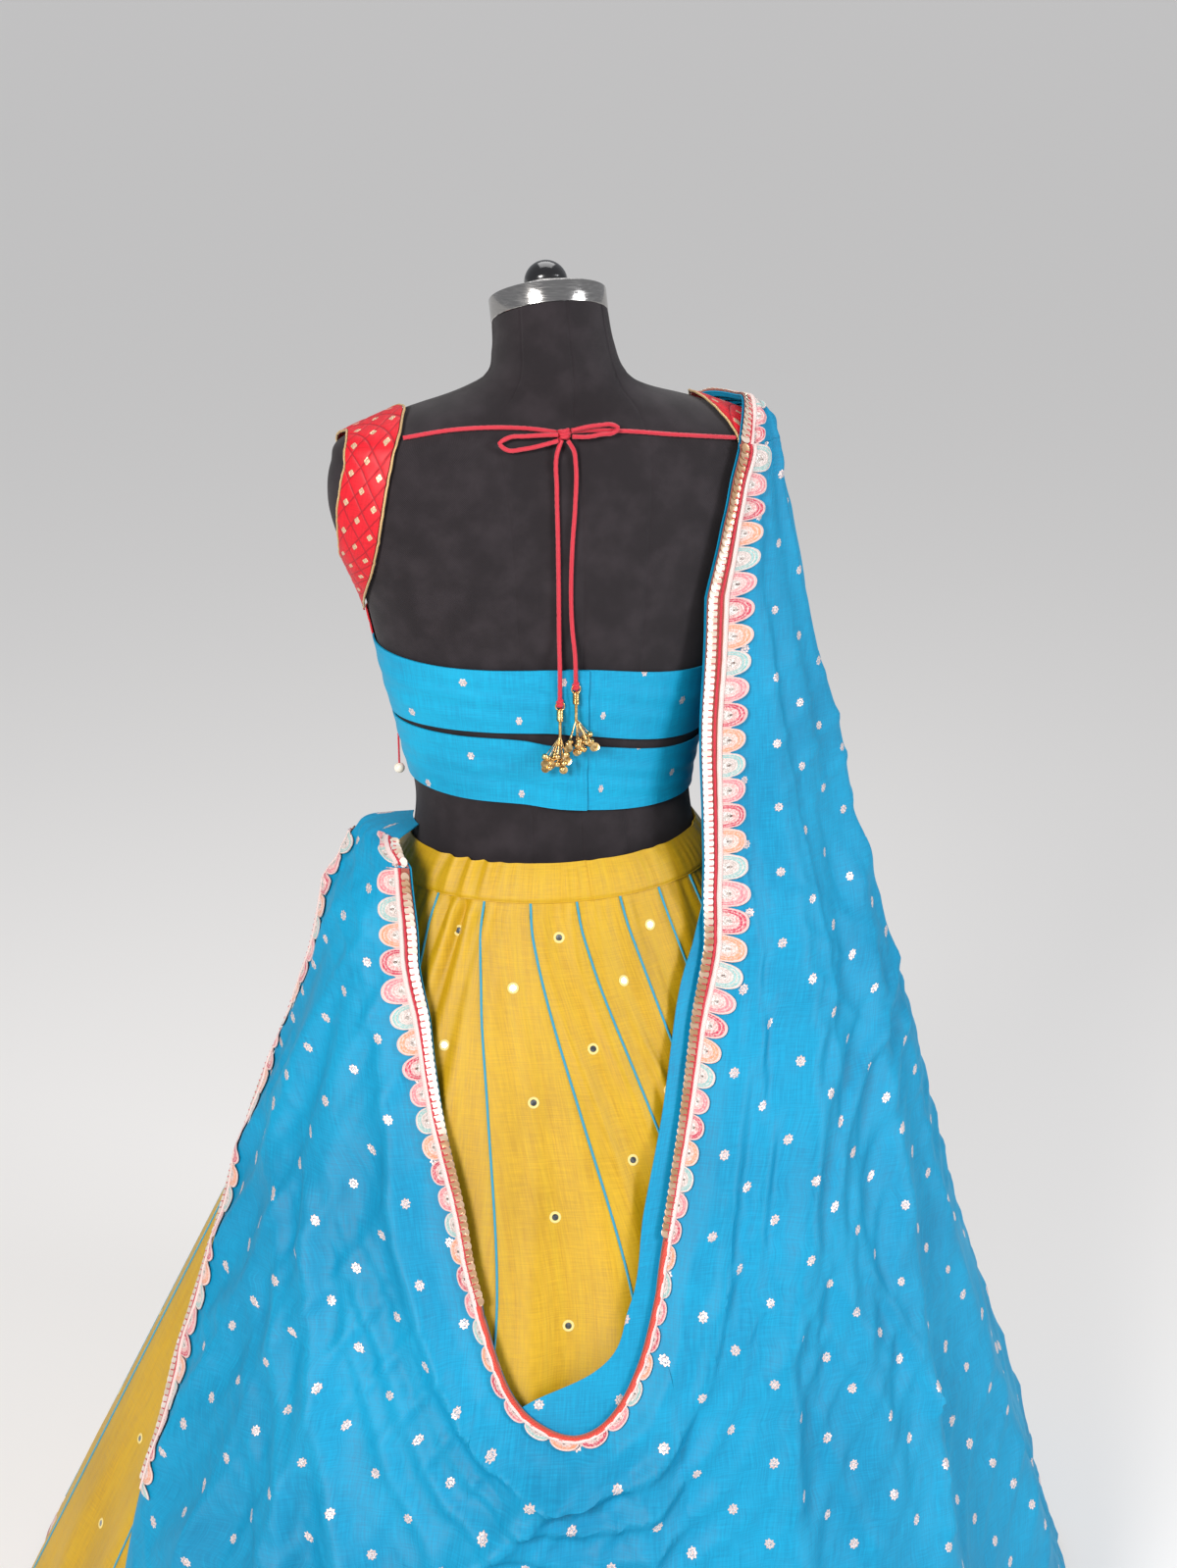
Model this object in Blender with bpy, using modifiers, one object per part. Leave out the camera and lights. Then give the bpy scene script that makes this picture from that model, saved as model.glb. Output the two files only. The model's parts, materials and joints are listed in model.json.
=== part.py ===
"""Lehenga choli on a limbless dress form: backless blouse, panelled skirt and draped dupatta.

Metres, +Z up. The origin is on the floor under the middle of the form. The wearer's back
faces -Y and the wearer's right is at +X. Angles are in degrees about the upright axis:
0 at the middle of the back, growing toward +X.
"""

import math

import bmesh
import bpy
import numpy as np

NAME = "lehenga_choli_on_dress_form"

# Driving sizes
SEAM_GAP = 0.0003
CLOTH = 0.0015
SILK = 0.0012
LACE = 0.0012
CHOLI_CLEAR = 0.0018
STRAP_CLEAR = 0.0033
HEM_Z = 0.012
HEM_RADIUS = 0.600
WAIST_Z = 0.945
WAIST_RADIUS = 0.145
BAND_HEIGHT = 0.034
FLATTER_WAIST = 0.030
RIGHT_NARROWER = 0.045
LEFT_WIDER = 0.026
TORSO_BOTTOM = 0.720
NECK_TILT = 22.0
TILT_START = 1.385
NECK_TOP = 1.445
KALI_COUNT = 20
SCALLOP_PITCH = 0.025
LACE_WIDTH = 0.035
ROLLED_WIDTH = 0.020
FLAT_BESIDE_EDGE = 0.060
SLANT = 1.11
CORD_RADIUS = 0.00215
PEARL_CORD = 0.036
PIPING_RADIUS = 0.0012
CAP_HEIGHT = 0.0270
KNOB_RADIUS = 0.0205
BASE_RADIUS = 0.210
BASE_HEIGHT = 0.030
TUCK_OVER_END = -74.0
TUCK_END = -85.0
POLE_RADIUS = 0.016

# Sections of the form: height, half width, depth to the back, depth to the front, middle in Y
BODY = np.array([
    (0.720, 0.168, 0.104, 0.112, 0.000),
    (0.780, 0.178, 0.112, 0.118, 0.000),
    (0.860, 0.163, 0.108, 0.112, 0.000),
    (0.940, 0.144, 0.103, 0.104, 0.000),
    (0.985, 0.139, 0.098, 0.100, 0.000),
    (1.040, 0.149, 0.099, 0.106, 0.000),
    (1.100, 0.163, 0.103, 0.116, 0.000),
    (1.160, 0.176, 0.106, 0.124, 0.000),
    (1.190, 0.183, 0.107, 0.122, 0.000),
    (1.215, 0.193, 0.107, 0.118, 0.000),
    (1.250, 0.207, 0.106, 0.112, 0.000),
    (1.288, 0.215, 0.103, 0.104, 0.000),
    (1.320, 0.211, 0.096, 0.094, 0.000),
    (1.343, 0.199, 0.087, 0.083, 0.000),
    (1.354, 0.172, 0.081, 0.077, 0.000),
    (1.366, 0.139, 0.075, 0.070, 0.000),
    (1.375, 0.106, 0.071, 0.066, -0.003),
    (1.384, 0.083, 0.067, 0.062, -0.008),
    (1.397, 0.066, 0.061, 0.057, -0.014),
    (1.420, 0.057, 0.056, 0.055, -0.006),
    (1.445, 0.054, 0.054, 0.054, 0.004),
])

# The right fall of the dupatta: height, angle of its laced edge and of its far edge, side radius
FALL = np.array([
    (0.015, 1.3, 106, 0.560),
    (0.203, 1.3, 108, 0.518),
    (0.350, 1.3, 110, 0.469),
    (0.482, 1.3, 112, 0.426),
    (0.585, 1.4, 112, 0.395),
    (0.653, 6.5, 112, 0.375),
    (0.714, 12.7, 112, 0.359),
    (0.791, 23.0, 112, 0.339),
    (0.865, 37.0, 112, 0.318),
    (0.920, 42.0, 111, 0.306),
    (0.970, 44.0, 110, 0.297),
    (1.065, 47.0, 106, 0.277),
    (1.141, 52.0, 102, 0.255),
    (1.221, 55.8, 99, 0.237),
    (1.270, 58.6, 97, 0.222),
    (1.305, 62.5, 97, 0.211),
    (1.326, 67.0, 97, 0.202),
])
ACROSS_FALL = np.array([
    (0.00, 0.00),
    (0.30, 0.42),
    (0.62, 0.95),
    (0.82, 1.00),
    (1.00, 0.85),
])

# The left stretch of the dupatta: height, far edge, laced edge, stand-off at the side
LEFT = np.array([
    (0.015, -64.0, -27.4, 0.000),
    (0.252, -72.0, -27.4, 0.000),
    (0.330, -76.0, -27.4, 0.000),
    (0.383, -77.6, -27.4, 0.000),
    (0.424, -80.0, -27.4, 0.000),
    (0.520, -85.0, -27.4, 0.000),
    (0.575, -89.5, -27.5, 0.000),
    (0.613, -94.0, -30.2, 0.001),
    (0.660, -98.0, -33.4, 0.005),
    (0.734, -102.5, -41.1, 0.010),
    (0.809, -103.0, -49.7, 0.022),
    (0.848, -103.0, -54.9, 0.027),
    (0.892, -102.5, -58.4, 0.026),
    (0.930, -102.0, -62.0, 0.007),
    (0.950, -101.0, -63.5, 0.000),
])

# The lower edge of the U that the laced edge makes: angle, height
U_BOTTOM = np.array([
    (-27.4, 0.575),
    (-22.7, 0.518),
    (-16.8, 0.487),
    (-12.6, 0.481),
    (-8.2, 0.493),
    (-3.0, 0.533),
    (1.3, 0.585),
])

# The layer turned under inside the U: height, folded edge, hidden edge
UNDER = np.array([
    (0.455, -26.0, 5.0),
    (0.490, -23.5, 5.0),
    (0.508, -19.0, 5.5),
    (0.526, -10.7, 6.0),
    (0.577, -3.3, 8.0),
    (0.654, 1.9, 14.0),
    (0.715, 8.2, 20.0),
    (0.831, 25.0, 36.0),
    (0.905, 43.5, 50.0),
    (0.935, 48.5, 54.0),
])

# Large folds of the dupatta as (angle, height) points, with their height and half width
FOLDS = (
    ((( 4.3, 0.557), (-6.9, 0.484), (-17.7, 0.436), (-30.0, 0.360), (-44.0, 0.260)), 0.018, 0.022),
    (((-24.0, 0.490), (-13.0, 0.445), (-3.0, 0.490)), 0.012, 0.018),
    (((-82.0, 0.900), (-80.7, 0.684), (-61.6, 0.547), (-52.7, 0.429), (-45.0, 0.150)), 0.011, 0.022),
    (((-74.0, 0.900), (-61.8, 0.632), (-47.4, 0.453), (-38.0, 0.300)), 0.015, 0.022),
    (((-66.0, 0.880), (-51.4, 0.723), (-33.8, 0.535), (-20.0, 0.440)), 0.012, 0.018),
    (((66.0, 0.943), (52.3, 0.840), (32.2, 0.669), (19.2, 0.520), (14.6, 0.407), (10.0, 0.100)), 0.016, 0.024),
    (((80.0, 0.917), (60.0, 0.756), (46.5, 0.546), (34.9, 0.328), (28.0, 0.050)), 0.018, 0.026),
    (((76.0, 0.800), (66.0, 0.560), (56.0, 0.300), (50.0, 0.050)), 0.011, 0.026),
    (((49.8, 0.911), (20.9, 0.721), (3.2, 0.577), (-4.0, 0.420), (-8.0, 0.150)), 0.013, 0.020),
)

# Seams of the kalis that the back shows: angle at the waistband
BACK_SEAMS = (-62.0, -43.4, -25.3, -6.5, 12.5, 31.0)


def through(at, places, values):
    """Value at a place on the smooth curve through (place, value) pairs."""
    places = np.asarray(places, float)
    values = np.asarray(values, float)
    slopes = np.gradient(values, places)
    at = np.clip(at, places[0], places[-1])
    i = np.clip(np.searchsorted(places, at) - 1, 0, len(places) - 2)
    step = places[i + 1] - places[i]
    t = (at - places[i]) / step
    start = (2 * t**3 - 3 * t**2 + 1) * values[i] + (t**3 - 2 * t**2 + t) * step * slopes[i]
    end = (3 * t**2 - 2 * t**3) * values[i + 1] + (t**3 - t**2) * step * slopes[i + 1]
    return start + end


def column(table, at, which):
    return through(at, table[:, 0], table[:, which])


def oval(theta, half_width, back, front):
    """Radius of an oval section at an angle."""
    turn = np.radians(theta)
    depth = np.where(np.cos(turn) > 0, back, front)
    return 1 / np.sqrt((np.sin(turn) / half_width) ** 2 + (np.cos(turn) / depth) ** 2)


def body_radius(theta, z):
    """Radius of the form, with the fullness that the blouse is cut for."""
    plain = oval(theta, column(BODY, z, 1), column(BODY, z, 2), column(BODY, z, 3))
    aside = np.abs(np.abs(theta) - 152.0)
    aside = np.minimum(aside, np.abs(360 - np.abs(theta) - 152.0))
    return plain + 0.016 * np.exp(-(aside / 17) ** 2) * np.exp(-(((z - 1.172) / 0.045) ** 2))


def place(theta, radius, z):
    turn = np.radians(theta)
    return np.stack(np.broadcast_arrays(radius * np.sin(turn), -radius * np.cos(turn), z), axis=-1)


def on_body(theta, z, lift):
    """Point at a lift above the form's surface, along its normal."""
    theta, z, lift = np.broadcast_arrays(np.asarray(theta, float), z, lift)

    def surface(angle, height):
        return place(angle, body_radius(angle, height), height)

    around = surface(theta + 0.4, z) - surface(theta - 0.4, z)
    upward = surface(theta, z + 0.001) - surface(theta, z - 0.001)
    normal = np.cross(around, upward)
    normal /= np.linalg.norm(normal, axis=-1, keepdims=True)
    return surface(theta, z) + normal * lift[..., None]


def skirt_radius(theta, z):
    """Radius of the skirt without its folds: a cone that is flatter front to back at the waist."""
    wide = WAIST_RADIUS + (WAIST_Z - z) * (HEM_RADIUS - WAIST_RADIUS) / WAIST_Z
    up = np.clip(z / 0.9, 0, 1)
    deep = wide - FLATTER_WAIST * up
    aside = np.where(np.sin(np.radians(theta)) > 0, -RIGHT_NARROWER, LEFT_WIDER)
    return oval(theta, wide + aside * (1 - up), deep, deep)


def hang_radius(theta, z):
    """Smooth surface that the dupatta hangs on, bridging the hollow of the waist."""
    low_z = np.where(z < 0.80, z, np.where(z > 0.92, 0.86, z - (z - 0.80) ** 2 / 0.24))
    low = skirt_radius(theta, low_z) + 0.010 + 0.016 * (1 - np.clip(z / 0.9, 0, 1))
    high = body_radius(theta, np.maximum(z, 1.19)) + 0.011
    share = np.clip((z - 0.86) / 0.33, 0, 1)
    return low * (1 - share) + high * share


def drape_radius(theta, z):
    """Radius of the dupatta: the hanging surface and how far each stretch stands off it."""
    inner = column(FALL, z, 1)
    outer = column(FALL, z, 2)
    side = np.maximum(column(FALL, z, 3) - hang_radius(80.0, z), 0)
    across = np.clip((theta - inner) / (outer - inner), 0, 1)
    right = side * through(across, ACROSS_FALL[:, 0], ACROSS_FALL[:, 1])
    left = column(LEFT, z, 3) * np.clip((-50 - theta) / 40, 0, 1)
    return hang_radius(theta, z) + right + left


def apart(theta, z, points):
    """Distance on the hanging surface from each place to a line of (angle, height) points."""
    radius = hang_radius(theta, z)
    nearest = np.full(np.broadcast(theta, z).shape, 9.0)
    for (theta_a, z_a), (theta_b, z_b) in zip(points, points[1:]):
        along = np.radians(theta_b - theta_a) * radius
        down = (z_b - z_a) * SLANT
        east = np.radians(theta - theta_a) * radius
        north = (z - z_a) * SLANT
        share = np.clip((east * along + north * down) / (along**2 + down**2), 0, 1)
        nearest = np.minimum(nearest, np.hypot(east - share * along, north - share * down))
    return nearest


def u_edge(steps):
    """The laced edge in its U: (angle, height) points from the left of the waist to the right shoulder."""
    down = np.linspace(0.945, U_BOTTOM[0, 1], steps)
    across = np.linspace(U_BOTTOM[0, 0], U_BOTTOM[-1, 0], steps)
    up = np.linspace(U_BOTTOM[-1, 1], FALL[-1, 0], steps)
    return (np.stack([column(LEFT, down, 2), down], axis=-1),
            np.stack([across, column(U_BOTTOM, across, 1)], axis=-1),
            np.stack([np.maximum(column(FALL, up, 1), U_BOTTOM[-1, 0]), up], axis=-1))


def fold_lift(theta, z):
    """How far the folds of the dupatta rise: ridges along lines of points, flat beside the laced edge."""
    total = np.zeros(np.broadcast(theta, z).shape)
    for points, height, half_width in FOLDS:
        total += height * np.exp(-((apart(theta, z, points) / half_width) ** 2))
    edge = apart(theta, z, np.concatenate(u_edge(9)))
    return total * np.clip(edge / FLAT_BESIDE_EDGE, 0, 1) ** 1.5


def start_scene():
    for thing in list(bpy.data.objects):
        bpy.data.objects.remove(thing)
    parts = bpy.data.collections.new(NAME)
    cutters = bpy.data.collections.new("shapes_joined_into_tassels")
    bpy.context.scene.collection.children.link(parts)
    bpy.context.scene.collection.children.link(cutters)
    return parts, cutters


def material(name, colour, roughness, metallic=0.0):
    made = bpy.data.materials.new(name)
    made.use_nodes = True
    shader = made.node_tree.nodes["Principled BSDF"]
    shader.inputs["Base Color"].default_value = (*colour, 1)
    shader.inputs["Roughness"].default_value = roughness
    shader.inputs["Metallic"].default_value = metallic
    made.diffuse_color = (*colour, 1)
    return made


parts, cutters = start_scene()
BLACK_CLOTH = material("black_cloth", (0.012, 0.011, 0.012), 0.85)
CHROME = material("chrome", (0.75, 0.74, 0.73), 0.18, 1.0)
BLACK_GLOSS = material("black_gloss", (0.01, 0.01, 0.01), 0.25)
BLACK_METAL = material("black_metal", (0.02, 0.02, 0.02), 0.45)
RED_SILK = material("red_silk", (0.62, 0.012, 0.03), 0.5)
GOLD_PIPING = material("gold_piping", (0.72, 0.42, 0.14), 0.4, 0.4)
BLUE_SILK = material("blue_silk", (0.004, 0.30, 0.55), 0.45)
MUSTARD_SILK = material("mustard_silk", (0.52, 0.31, 0.01), 0.5)
PINK_LACE = material("pink_lace", (0.75, 0.42, 0.40), 0.6)
RED_CORD = material("red_cord", (0.65, 0.01, 0.03), 0.55)
GOLD = material("gold", (0.8, 0.55, 0.2), 0.3, 1.0)
PEARL = material("pearl", (0.85, 0.78, 0.66), 0.25)


def add_object(name, mesh, surface, collection=parts):
    mesh.materials.append(surface)
    made = bpy.data.objects.new(name, mesh)
    collection.objects.link(made)
    mesh.shade_smooth()
    mesh.set_sharp_from_angle(angle=math.radians(40))
    return made


def wall(name, grid, thickness, surface, closed=False):
    """Sheet of cloth: rows of points from low to high, columns toward a growing angle."""
    rows, cols = grid.shape[:2]
    last = cols if closed else cols - 1
    faces = []
    for i in range(rows - 1):
        for j in range(last):
            k = (j + 1) % cols
            faces.append((i * cols + j, i * cols + k, (i + 1) * cols + k, (i + 1) * cols + j))
    mesh = bpy.data.meshes.new(name)
    mesh.from_pydata(grid.reshape(-1, 3).tolist(), [], faces)
    made = add_object(name, mesh, surface)
    solid = made.modifiers.new("thickness", "SOLIDIFY")
    solid.thickness = thickness
    solid.offset = 1.0
    return made


def turned(name, profile, steps, surface, collection=parts):
    """Turned piece: (radius, height) points from the top down, about its own Z axis."""
    mesh = bpy.data.meshes.new(name)
    edges = [(i, i + 1) for i in range(len(profile) - 1)]
    mesh.from_pydata([(r, 0, z) for r, z in profile], edges, [])
    made = add_object(name, mesh, surface, collection)
    screw = made.modifiers.new("turn", "SCREW")
    screw.steps = steps
    screw.render_steps = steps
    screw.use_merge_vertices = True
    screw.merge_threshold = 0.00002
    return made


def smooth_route(points, spacing):
    """Evenly spaced points on a smooth curve through hand-placed points."""
    points = np.asarray(points, float)
    apart = np.linalg.norm(np.diff(points, axis=0), axis=1)
    along = np.concatenate([[0], np.cumsum(apart)])
    count = max(3, int(round(along[-1] / spacing)) + 1)
    at = np.linspace(0, along[-1], count)
    return np.stack([through(at, along, points[:, axis]) for axis in range(3)], axis=-1)


def tube(name, points, radius, surface):
    """Cord or piping along a line of points."""
    line = bpy.data.curves.new(name, "CURVE")
    line.dimensions = "3D"
    line.bevel_depth = radius
    line.bevel_resolution = 2
    line.use_fill_caps = True
    spline = line.splines.new("POLY")
    spline.points.add(len(points) - 1)
    for spot, point in zip(spline.points, points):
        spot.co = (*point, 1)
    line.materials.append(surface)
    made = bpy.data.objects.new(name, line)
    parts.objects.link(made)
    return made


def grid_normals(grid):
    """Normals of a grid of points, as a mesh of its quads has them at its corners."""
    across = np.gradient(grid, axis=1)
    upward = np.gradient(grid, axis=0)
    normal = np.cross(across, upward)
    return normal / np.linalg.norm(normal, axis=-1, keepdims=True)


def edge_lace(name, lines, pitch, widths, surface):
    """Scalloped strip over a cloth's edge: each line of points starts at the edge and runs inward.

    The lines follow each other so that along x inward points away from the cloth. The strip's
    width goes from the first to the second of the widths.
    """
    edge = lines[:, 0]
    apart = np.linalg.norm(np.diff(edge, axis=0), axis=1)
    along = np.concatenate([[0], np.cumsum(apart)])
    scallops = max(1, int(round(along[-1] / pitch)))
    depths = (0.74, 1.0)
    rim = []
    tips = []
    for step in range(scallops * 2 + 1):
        s = min(along[-1] * step / (scallops * 2), along[-1] * (1 - 1e-9))
        i = int(np.searchsorted(along, s, side="right")) - 1
        share = (s - along[i]) / (along[i + 1] - along[i])
        line = lines[i] * (1 - share) + lines[i + 1] * share
        rim.append(line[0])
        width = np.interp(s / along[-1], (0, 1), widths)
        tips.append(walk(line, width * depths[step % 2]))
    return wall(name, np.array([rim, tips]), LACE, surface)


def walk(line, distance):
    """Point at a distance along a line of points."""
    for a, b in zip(line, line[1:]):
        length = np.linalg.norm(b - a)
        if distance <= length:
            return a + (b - a) * distance / length
        distance -= length
    return line[-1]


def dress_form():
    """Torso on a pole and a round base, with a chrome neck cap and a knob."""
    heights = np.array([0.72, 0.76, 0.81, 0.87, 0.94, 0.99, 1.05, 1.11, 1.155, 1.18, 1.195, 1.21, 1.23,
                        1.26, 1.29, 1.318, 1.338, 1.35, 1.362, 1.374, 1.385, 1.398, 1.420, NECK_TOP])
    angles = np.arange(0, 360, 12.0)
    rings = []
    for z in heights:
        ring = place(angles, body_radius(np.where(angles > 180, angles - 360, angles), z), z)
        ring[:, 1] += column(BODY, z, 4)
        lean = math.tan(math.radians(NECK_TILT)) * np.clip((z - TILT_START) / (NECK_TOP - TILT_START), 0, 1)
        ring[:, 2] -= (ring[:, 1] - column(BODY, z, 4)) * lean
        rings.append(ring)
    count = len(angles)
    faces = []
    for i in range(len(rings) - 1):
        for j in range(count):
            k = (j + 1) % count
            faces.append((i * count + j, i * count + k, (i + 1) * count + k, (i + 1) * count + j))
    faces.append(tuple(range(count))[::-1])
    top = (len(rings) - 1) * count
    faces.append(tuple(range(top, top + count)))
    mesh = bpy.data.meshes.new("form_torso")
    mesh.from_pydata(np.concatenate(rings).tolist(), [], faces)
    add_object("form_torso", mesh, BLACK_CLOTH)

    neck_top = np.array([0, BODY[-1, 4], BODY[-1, 0]])
    axis = np.array([0, math.sin(math.radians(NECK_TILT)), math.cos(math.radians(NECK_TILT))])
    cap = turned("form_neck_cap", [
        (0, CAP_HEIGHT), (0.0345, CAP_HEIGHT), (0.036, CAP_HEIGHT - 0.0015), (0.036, CAP_HEIGHT - 0.0052),
        (0.0535, CAP_HEIGHT - 0.0060), (0.055, CAP_HEIGHT - 0.0080), (0.055, 0.0012), (0.0540, 0), (0, 0)],
        28, CHROME)
    knob_profile = [(0, 0.0052 + KNOB_RADIUS)]
    for turn in range(15, 106, 15):
        angle = math.radians(turn)
        knob_profile.append((KNOB_RADIUS * math.sin(angle), 0.0052 + KNOB_RADIUS * math.cos(angle)))
    knob_profile.append((0, 0))
    knob_profile[-2] = (KNOB_RADIUS * 0.965, 0)
    knob = turned("form_knob", knob_profile, 18, BLACK_GLOSS)
    for piece, height in ((cap, SEAM_GAP), (knob, CAP_HEIGHT + 2 * SEAM_GAP)):
        piece.rotation_euler = (math.radians(-NECK_TILT), 0, 0)
        piece.location = neck_top + axis * height

    turned("form_pole", [(0, TORSO_BOTTOM - SEAM_GAP), (POLE_RADIUS, TORSO_BOTTOM - SEAM_GAP),
                         (POLE_RADIUS, BASE_HEIGHT + SEAM_GAP), (0, BASE_HEIGHT + SEAM_GAP)], 16, BLACK_METAL)
    turned("form_base", [(0, BASE_HEIGHT), (0.045, BASE_HEIGHT), (0.055, 0.020), (0.195, 0.012),
                         (BASE_RADIUS, 0.006), (BASE_RADIUS, 0), (0, 0)], 32, BLACK_METAL)


# A shoulder strap from the underarm at the back over the shoulder to the front, as angle and
# height of its neck edge and of its armhole edge, angles counted from the middle of the back
STRAP = np.array([
    (93.0, 1.1770, 113.0, 1.1870),
    (81.0, 1.2120, 100.0, 1.2130),
    (75.0, 1.2420, 87.0, 1.2450),
    (71.7, 1.2780, 82.5, 1.2850),
    (71.0, 1.3170, 81.5, 1.3200),
    (73.0, 1.3460, 83.0, 1.3380),
    (84.0, 1.3630, 87.5, 1.3450),
    (97.0, 1.3630, 93.5, 1.3450),
    (107.0, 1.3450, 100.0, 1.3300),
    (116.0, 1.3120, 105.0, 1.2950),
    (128.0, 1.2720, 112.0, 1.2600),
    (140.0, 1.2410, 120.0, 1.2330),
    (150.0, 1.2250, 128.0, 1.2150),
])
# Top edge of the side panel and the front: angle from the middle of the back, height
CHOLI_TOP = np.array([
    (97.0, 1.1760),
    (105.0, 1.1790),
    (113.0, 1.1860),
    (121.0, 1.2020),
    (128.0, 1.2135),
    (140.0, 1.2180),
    (150.0, 1.2220),
    (165.0, 1.2120),
    (180.0, 1.2050),
])
CHOLI_BOTTOM = 1.0150
SIDE_SEAM = 97.0
FRONT_SEAM = 127.5


def strap_grid(side, columns, rows):
    steps = np.linspace(0, len(STRAP) - 1, rows)
    places = np.arange(len(STRAP))
    neck_angle, neck_z, arm_angle, arm_z = (through(steps, places, STRAP[:, i]) for i in range(4))
    share = np.linspace(0, 1, columns)[None, :]
    angle = neck_angle[:, None] * (1 - share) + arm_angle[:, None] * share
    height = neck_z[:, None] * (1 - share) + arm_z[:, None] * share
    grid = on_body(side * angle, height, STRAP_CLEAR)
    return grid if side > 0 else grid[:, ::-1]


def choli():
    """Bodice front, side panels and shoulder straps, with a gold piping on each edge of a strap."""
    for side, word in ((-1, "left"), (1, "right")):
        grid = strap_grid(side, 4, 22)
        wall("choli_strap_" + word, grid, CLOTH, RED_SILK)
        raised = grid + grid_normals(grid) * CLOTH / 2
        for edge, inner in ((0, 1), (-1, -2)):
            aside = grid[:, edge] - grid[:, inner]
            aside /= np.linalg.norm(aside, axis=1, keepdims=True)
            label = "neck" if (edge == 0) == (side > 0) else "armhole"
            points = raised[:, edge] + aside * (PIPING_RADIUS + 4 * SEAM_GAP)
            tube("piping_%s_%s" % (label, word), points[1:-1], PIPING_RADIUS, GOLD_PIPING)
        angles = np.linspace(SIDE_SEAM, FRONT_SEAM - 0.15, 8)
        shares = np.linspace(0, 1, 9)[:, None]
        tops = column(CHOLI_TOP, angles, 1)
        heights = CHOLI_BOTTOM + (tops - CHOLI_BOTTOM) * shares
        grid = on_body(side * angles[None, :], heights, CHOLI_CLEAR)
        if side < 0:
            grid = grid[:, ::-1]
        wall("choli_side_" + word, grid, CLOTH, RED_SILK)
    angles = np.linspace(FRONT_SEAM + 0.15, 360 - FRONT_SEAM - 0.15, 22)
    folded = np.where(angles > 180, 360 - angles, angles)
    tops = column(CHOLI_TOP, folded, 1)
    shares = np.linspace(0, 1, 10)[:, None]
    heights = CHOLI_BOTTOM + (tops - CHOLI_BOTTOM) * shares
    grid = on_body(np.where(angles > 180, angles - 360, angles)[None, :], heights, CHOLI_CLEAR)
    wall("choli_front", grid, CLOTH, RED_SILK)


# Back bands of the blouse: angle, top and bottom of the upper band, top and bottom of the lower
BANDS = np.array([
    (-96.6, 1.1500, 1.0780, 1.0740, 1.0130),
    (-61.0, 1.1390, 1.0760, 1.0700, 1.0050),
    (-29.0, 1.1370, 1.0745, 1.0660, 1.0010),
    (-17.0, 1.1370, 1.0740, 1.0610, 0.9970),
    (3.0, 1.1340, 1.0680, 1.0570, 0.9920),
    (62.0, 1.1160, 1.0480, 1.0380, 0.9830),
    (96.6, 1.1120, 1.0460, 1.0360, 0.9860),
])
OVERLAP_END = 2.5
UNDER_END = -9.5


def bands():
    """Two turquoise bands that close at the back, the left end lapped over the right."""
    for word, top, bottom in (("upper", 1, 2), ("lower", 3, 4)):
        for side, start, end, lift in (("left", -96.6, OVERLAP_END, 0.0040), ("right", UNDER_END, 96.6, 0.0018)):
            angles = np.linspace(start, end, 13)
            lifts = CHOLI_CLEAR + (lift - CHOLI_CLEAR) * np.clip((angles + 30) / 18, 0, 1)
            low = column(BANDS, angles, bottom)
            high = column(BANDS, angles, top)
            heights = low + (high - low) * np.linspace(0, 1, 3)[:, None]
            grid = on_body(angles[None, :], heights, lifts[None, :])
            wall("band_%s_%s" % (word, side), grid, CLOTH, BLUE_SILK)


# Routes of the back tie over the form: angle, height, lift of its middle above the form
KNOT = (-8.7, 1.3502, 0.0054)
TIES = {
    "dori_left": ((-72.0, 1.3478, 0.0034), (-61.3, 1.3555, 0.0028), (-42.9, 1.3580, 0.0028),
                  (-25.0, 1.3560, 0.0028), (-13.0, 1.3525, 0.0044)),
    "dori_right": ((-4.4, 1.3525, 0.0044), (10.0, 1.3530, 0.0028), (31.2, 1.3500, 0.0028),
                   (50.0, 1.3440, 0.0030), (60.5, 1.3395, 0.0032), (70.2, 1.3340, 0.0032)),
    "dori_loop_left": ((-12.9, 1.3490, 0.0084), (-22.0, 1.3492, 0.0084), (-31.0, 1.3490, 0.0074),
                       (-38.2, 1.3486, 0.0064), (-41.6, 1.3440, 0.0058), (-38.2, 1.3394, 0.0056),
                       (-31.0, 1.3396, 0.0060), (-21.0, 1.3420, 0.0076), (-12.9, 1.3444, 0.0086)),
    "dori_loop_right": ((-4.1, 1.3520, 0.0090), (6.0, 1.3545, 0.0086), (16.0, 1.3555, 0.0078),
                        (22.6, 1.3552, 0.0074), (25.8, 1.3518, 0.0072), (22.0, 1.3484, 0.0074),
                        (14.0, 1.3476, 0.0080), (6.0, 1.3462, 0.0088), (-4.1, 1.3468, 0.0094)),
    "dori_tail_left": ((-10.6, 1.3452, 0.0066), (-13.0, 1.3360, 0.0046), (-13.4, 1.3050, 0.0028),
                       (-13.1, 1.2600, 0.0028), (-12.9, 1.2150, 0.0028), (-12.9, 1.1600, 0.0050),
                       (-13.0, 1.1400, 0.0086), (-13.0, 1.1040, 0.0086)),
    "dori_tail_right": ((-6.7, 1.3444, 0.0068), (-3.4, 1.3370, 0.0048), (-2.7, 1.3250, 0.0032),
                        (-4.2, 1.2900, 0.0032), (-6.1, 1.2510, 0.0030), (-6.3, 1.1770, 0.0034),
                        (-5.4, 1.1500, 0.0082), (-5.0, 1.1200, 0.0088)),
}


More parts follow.
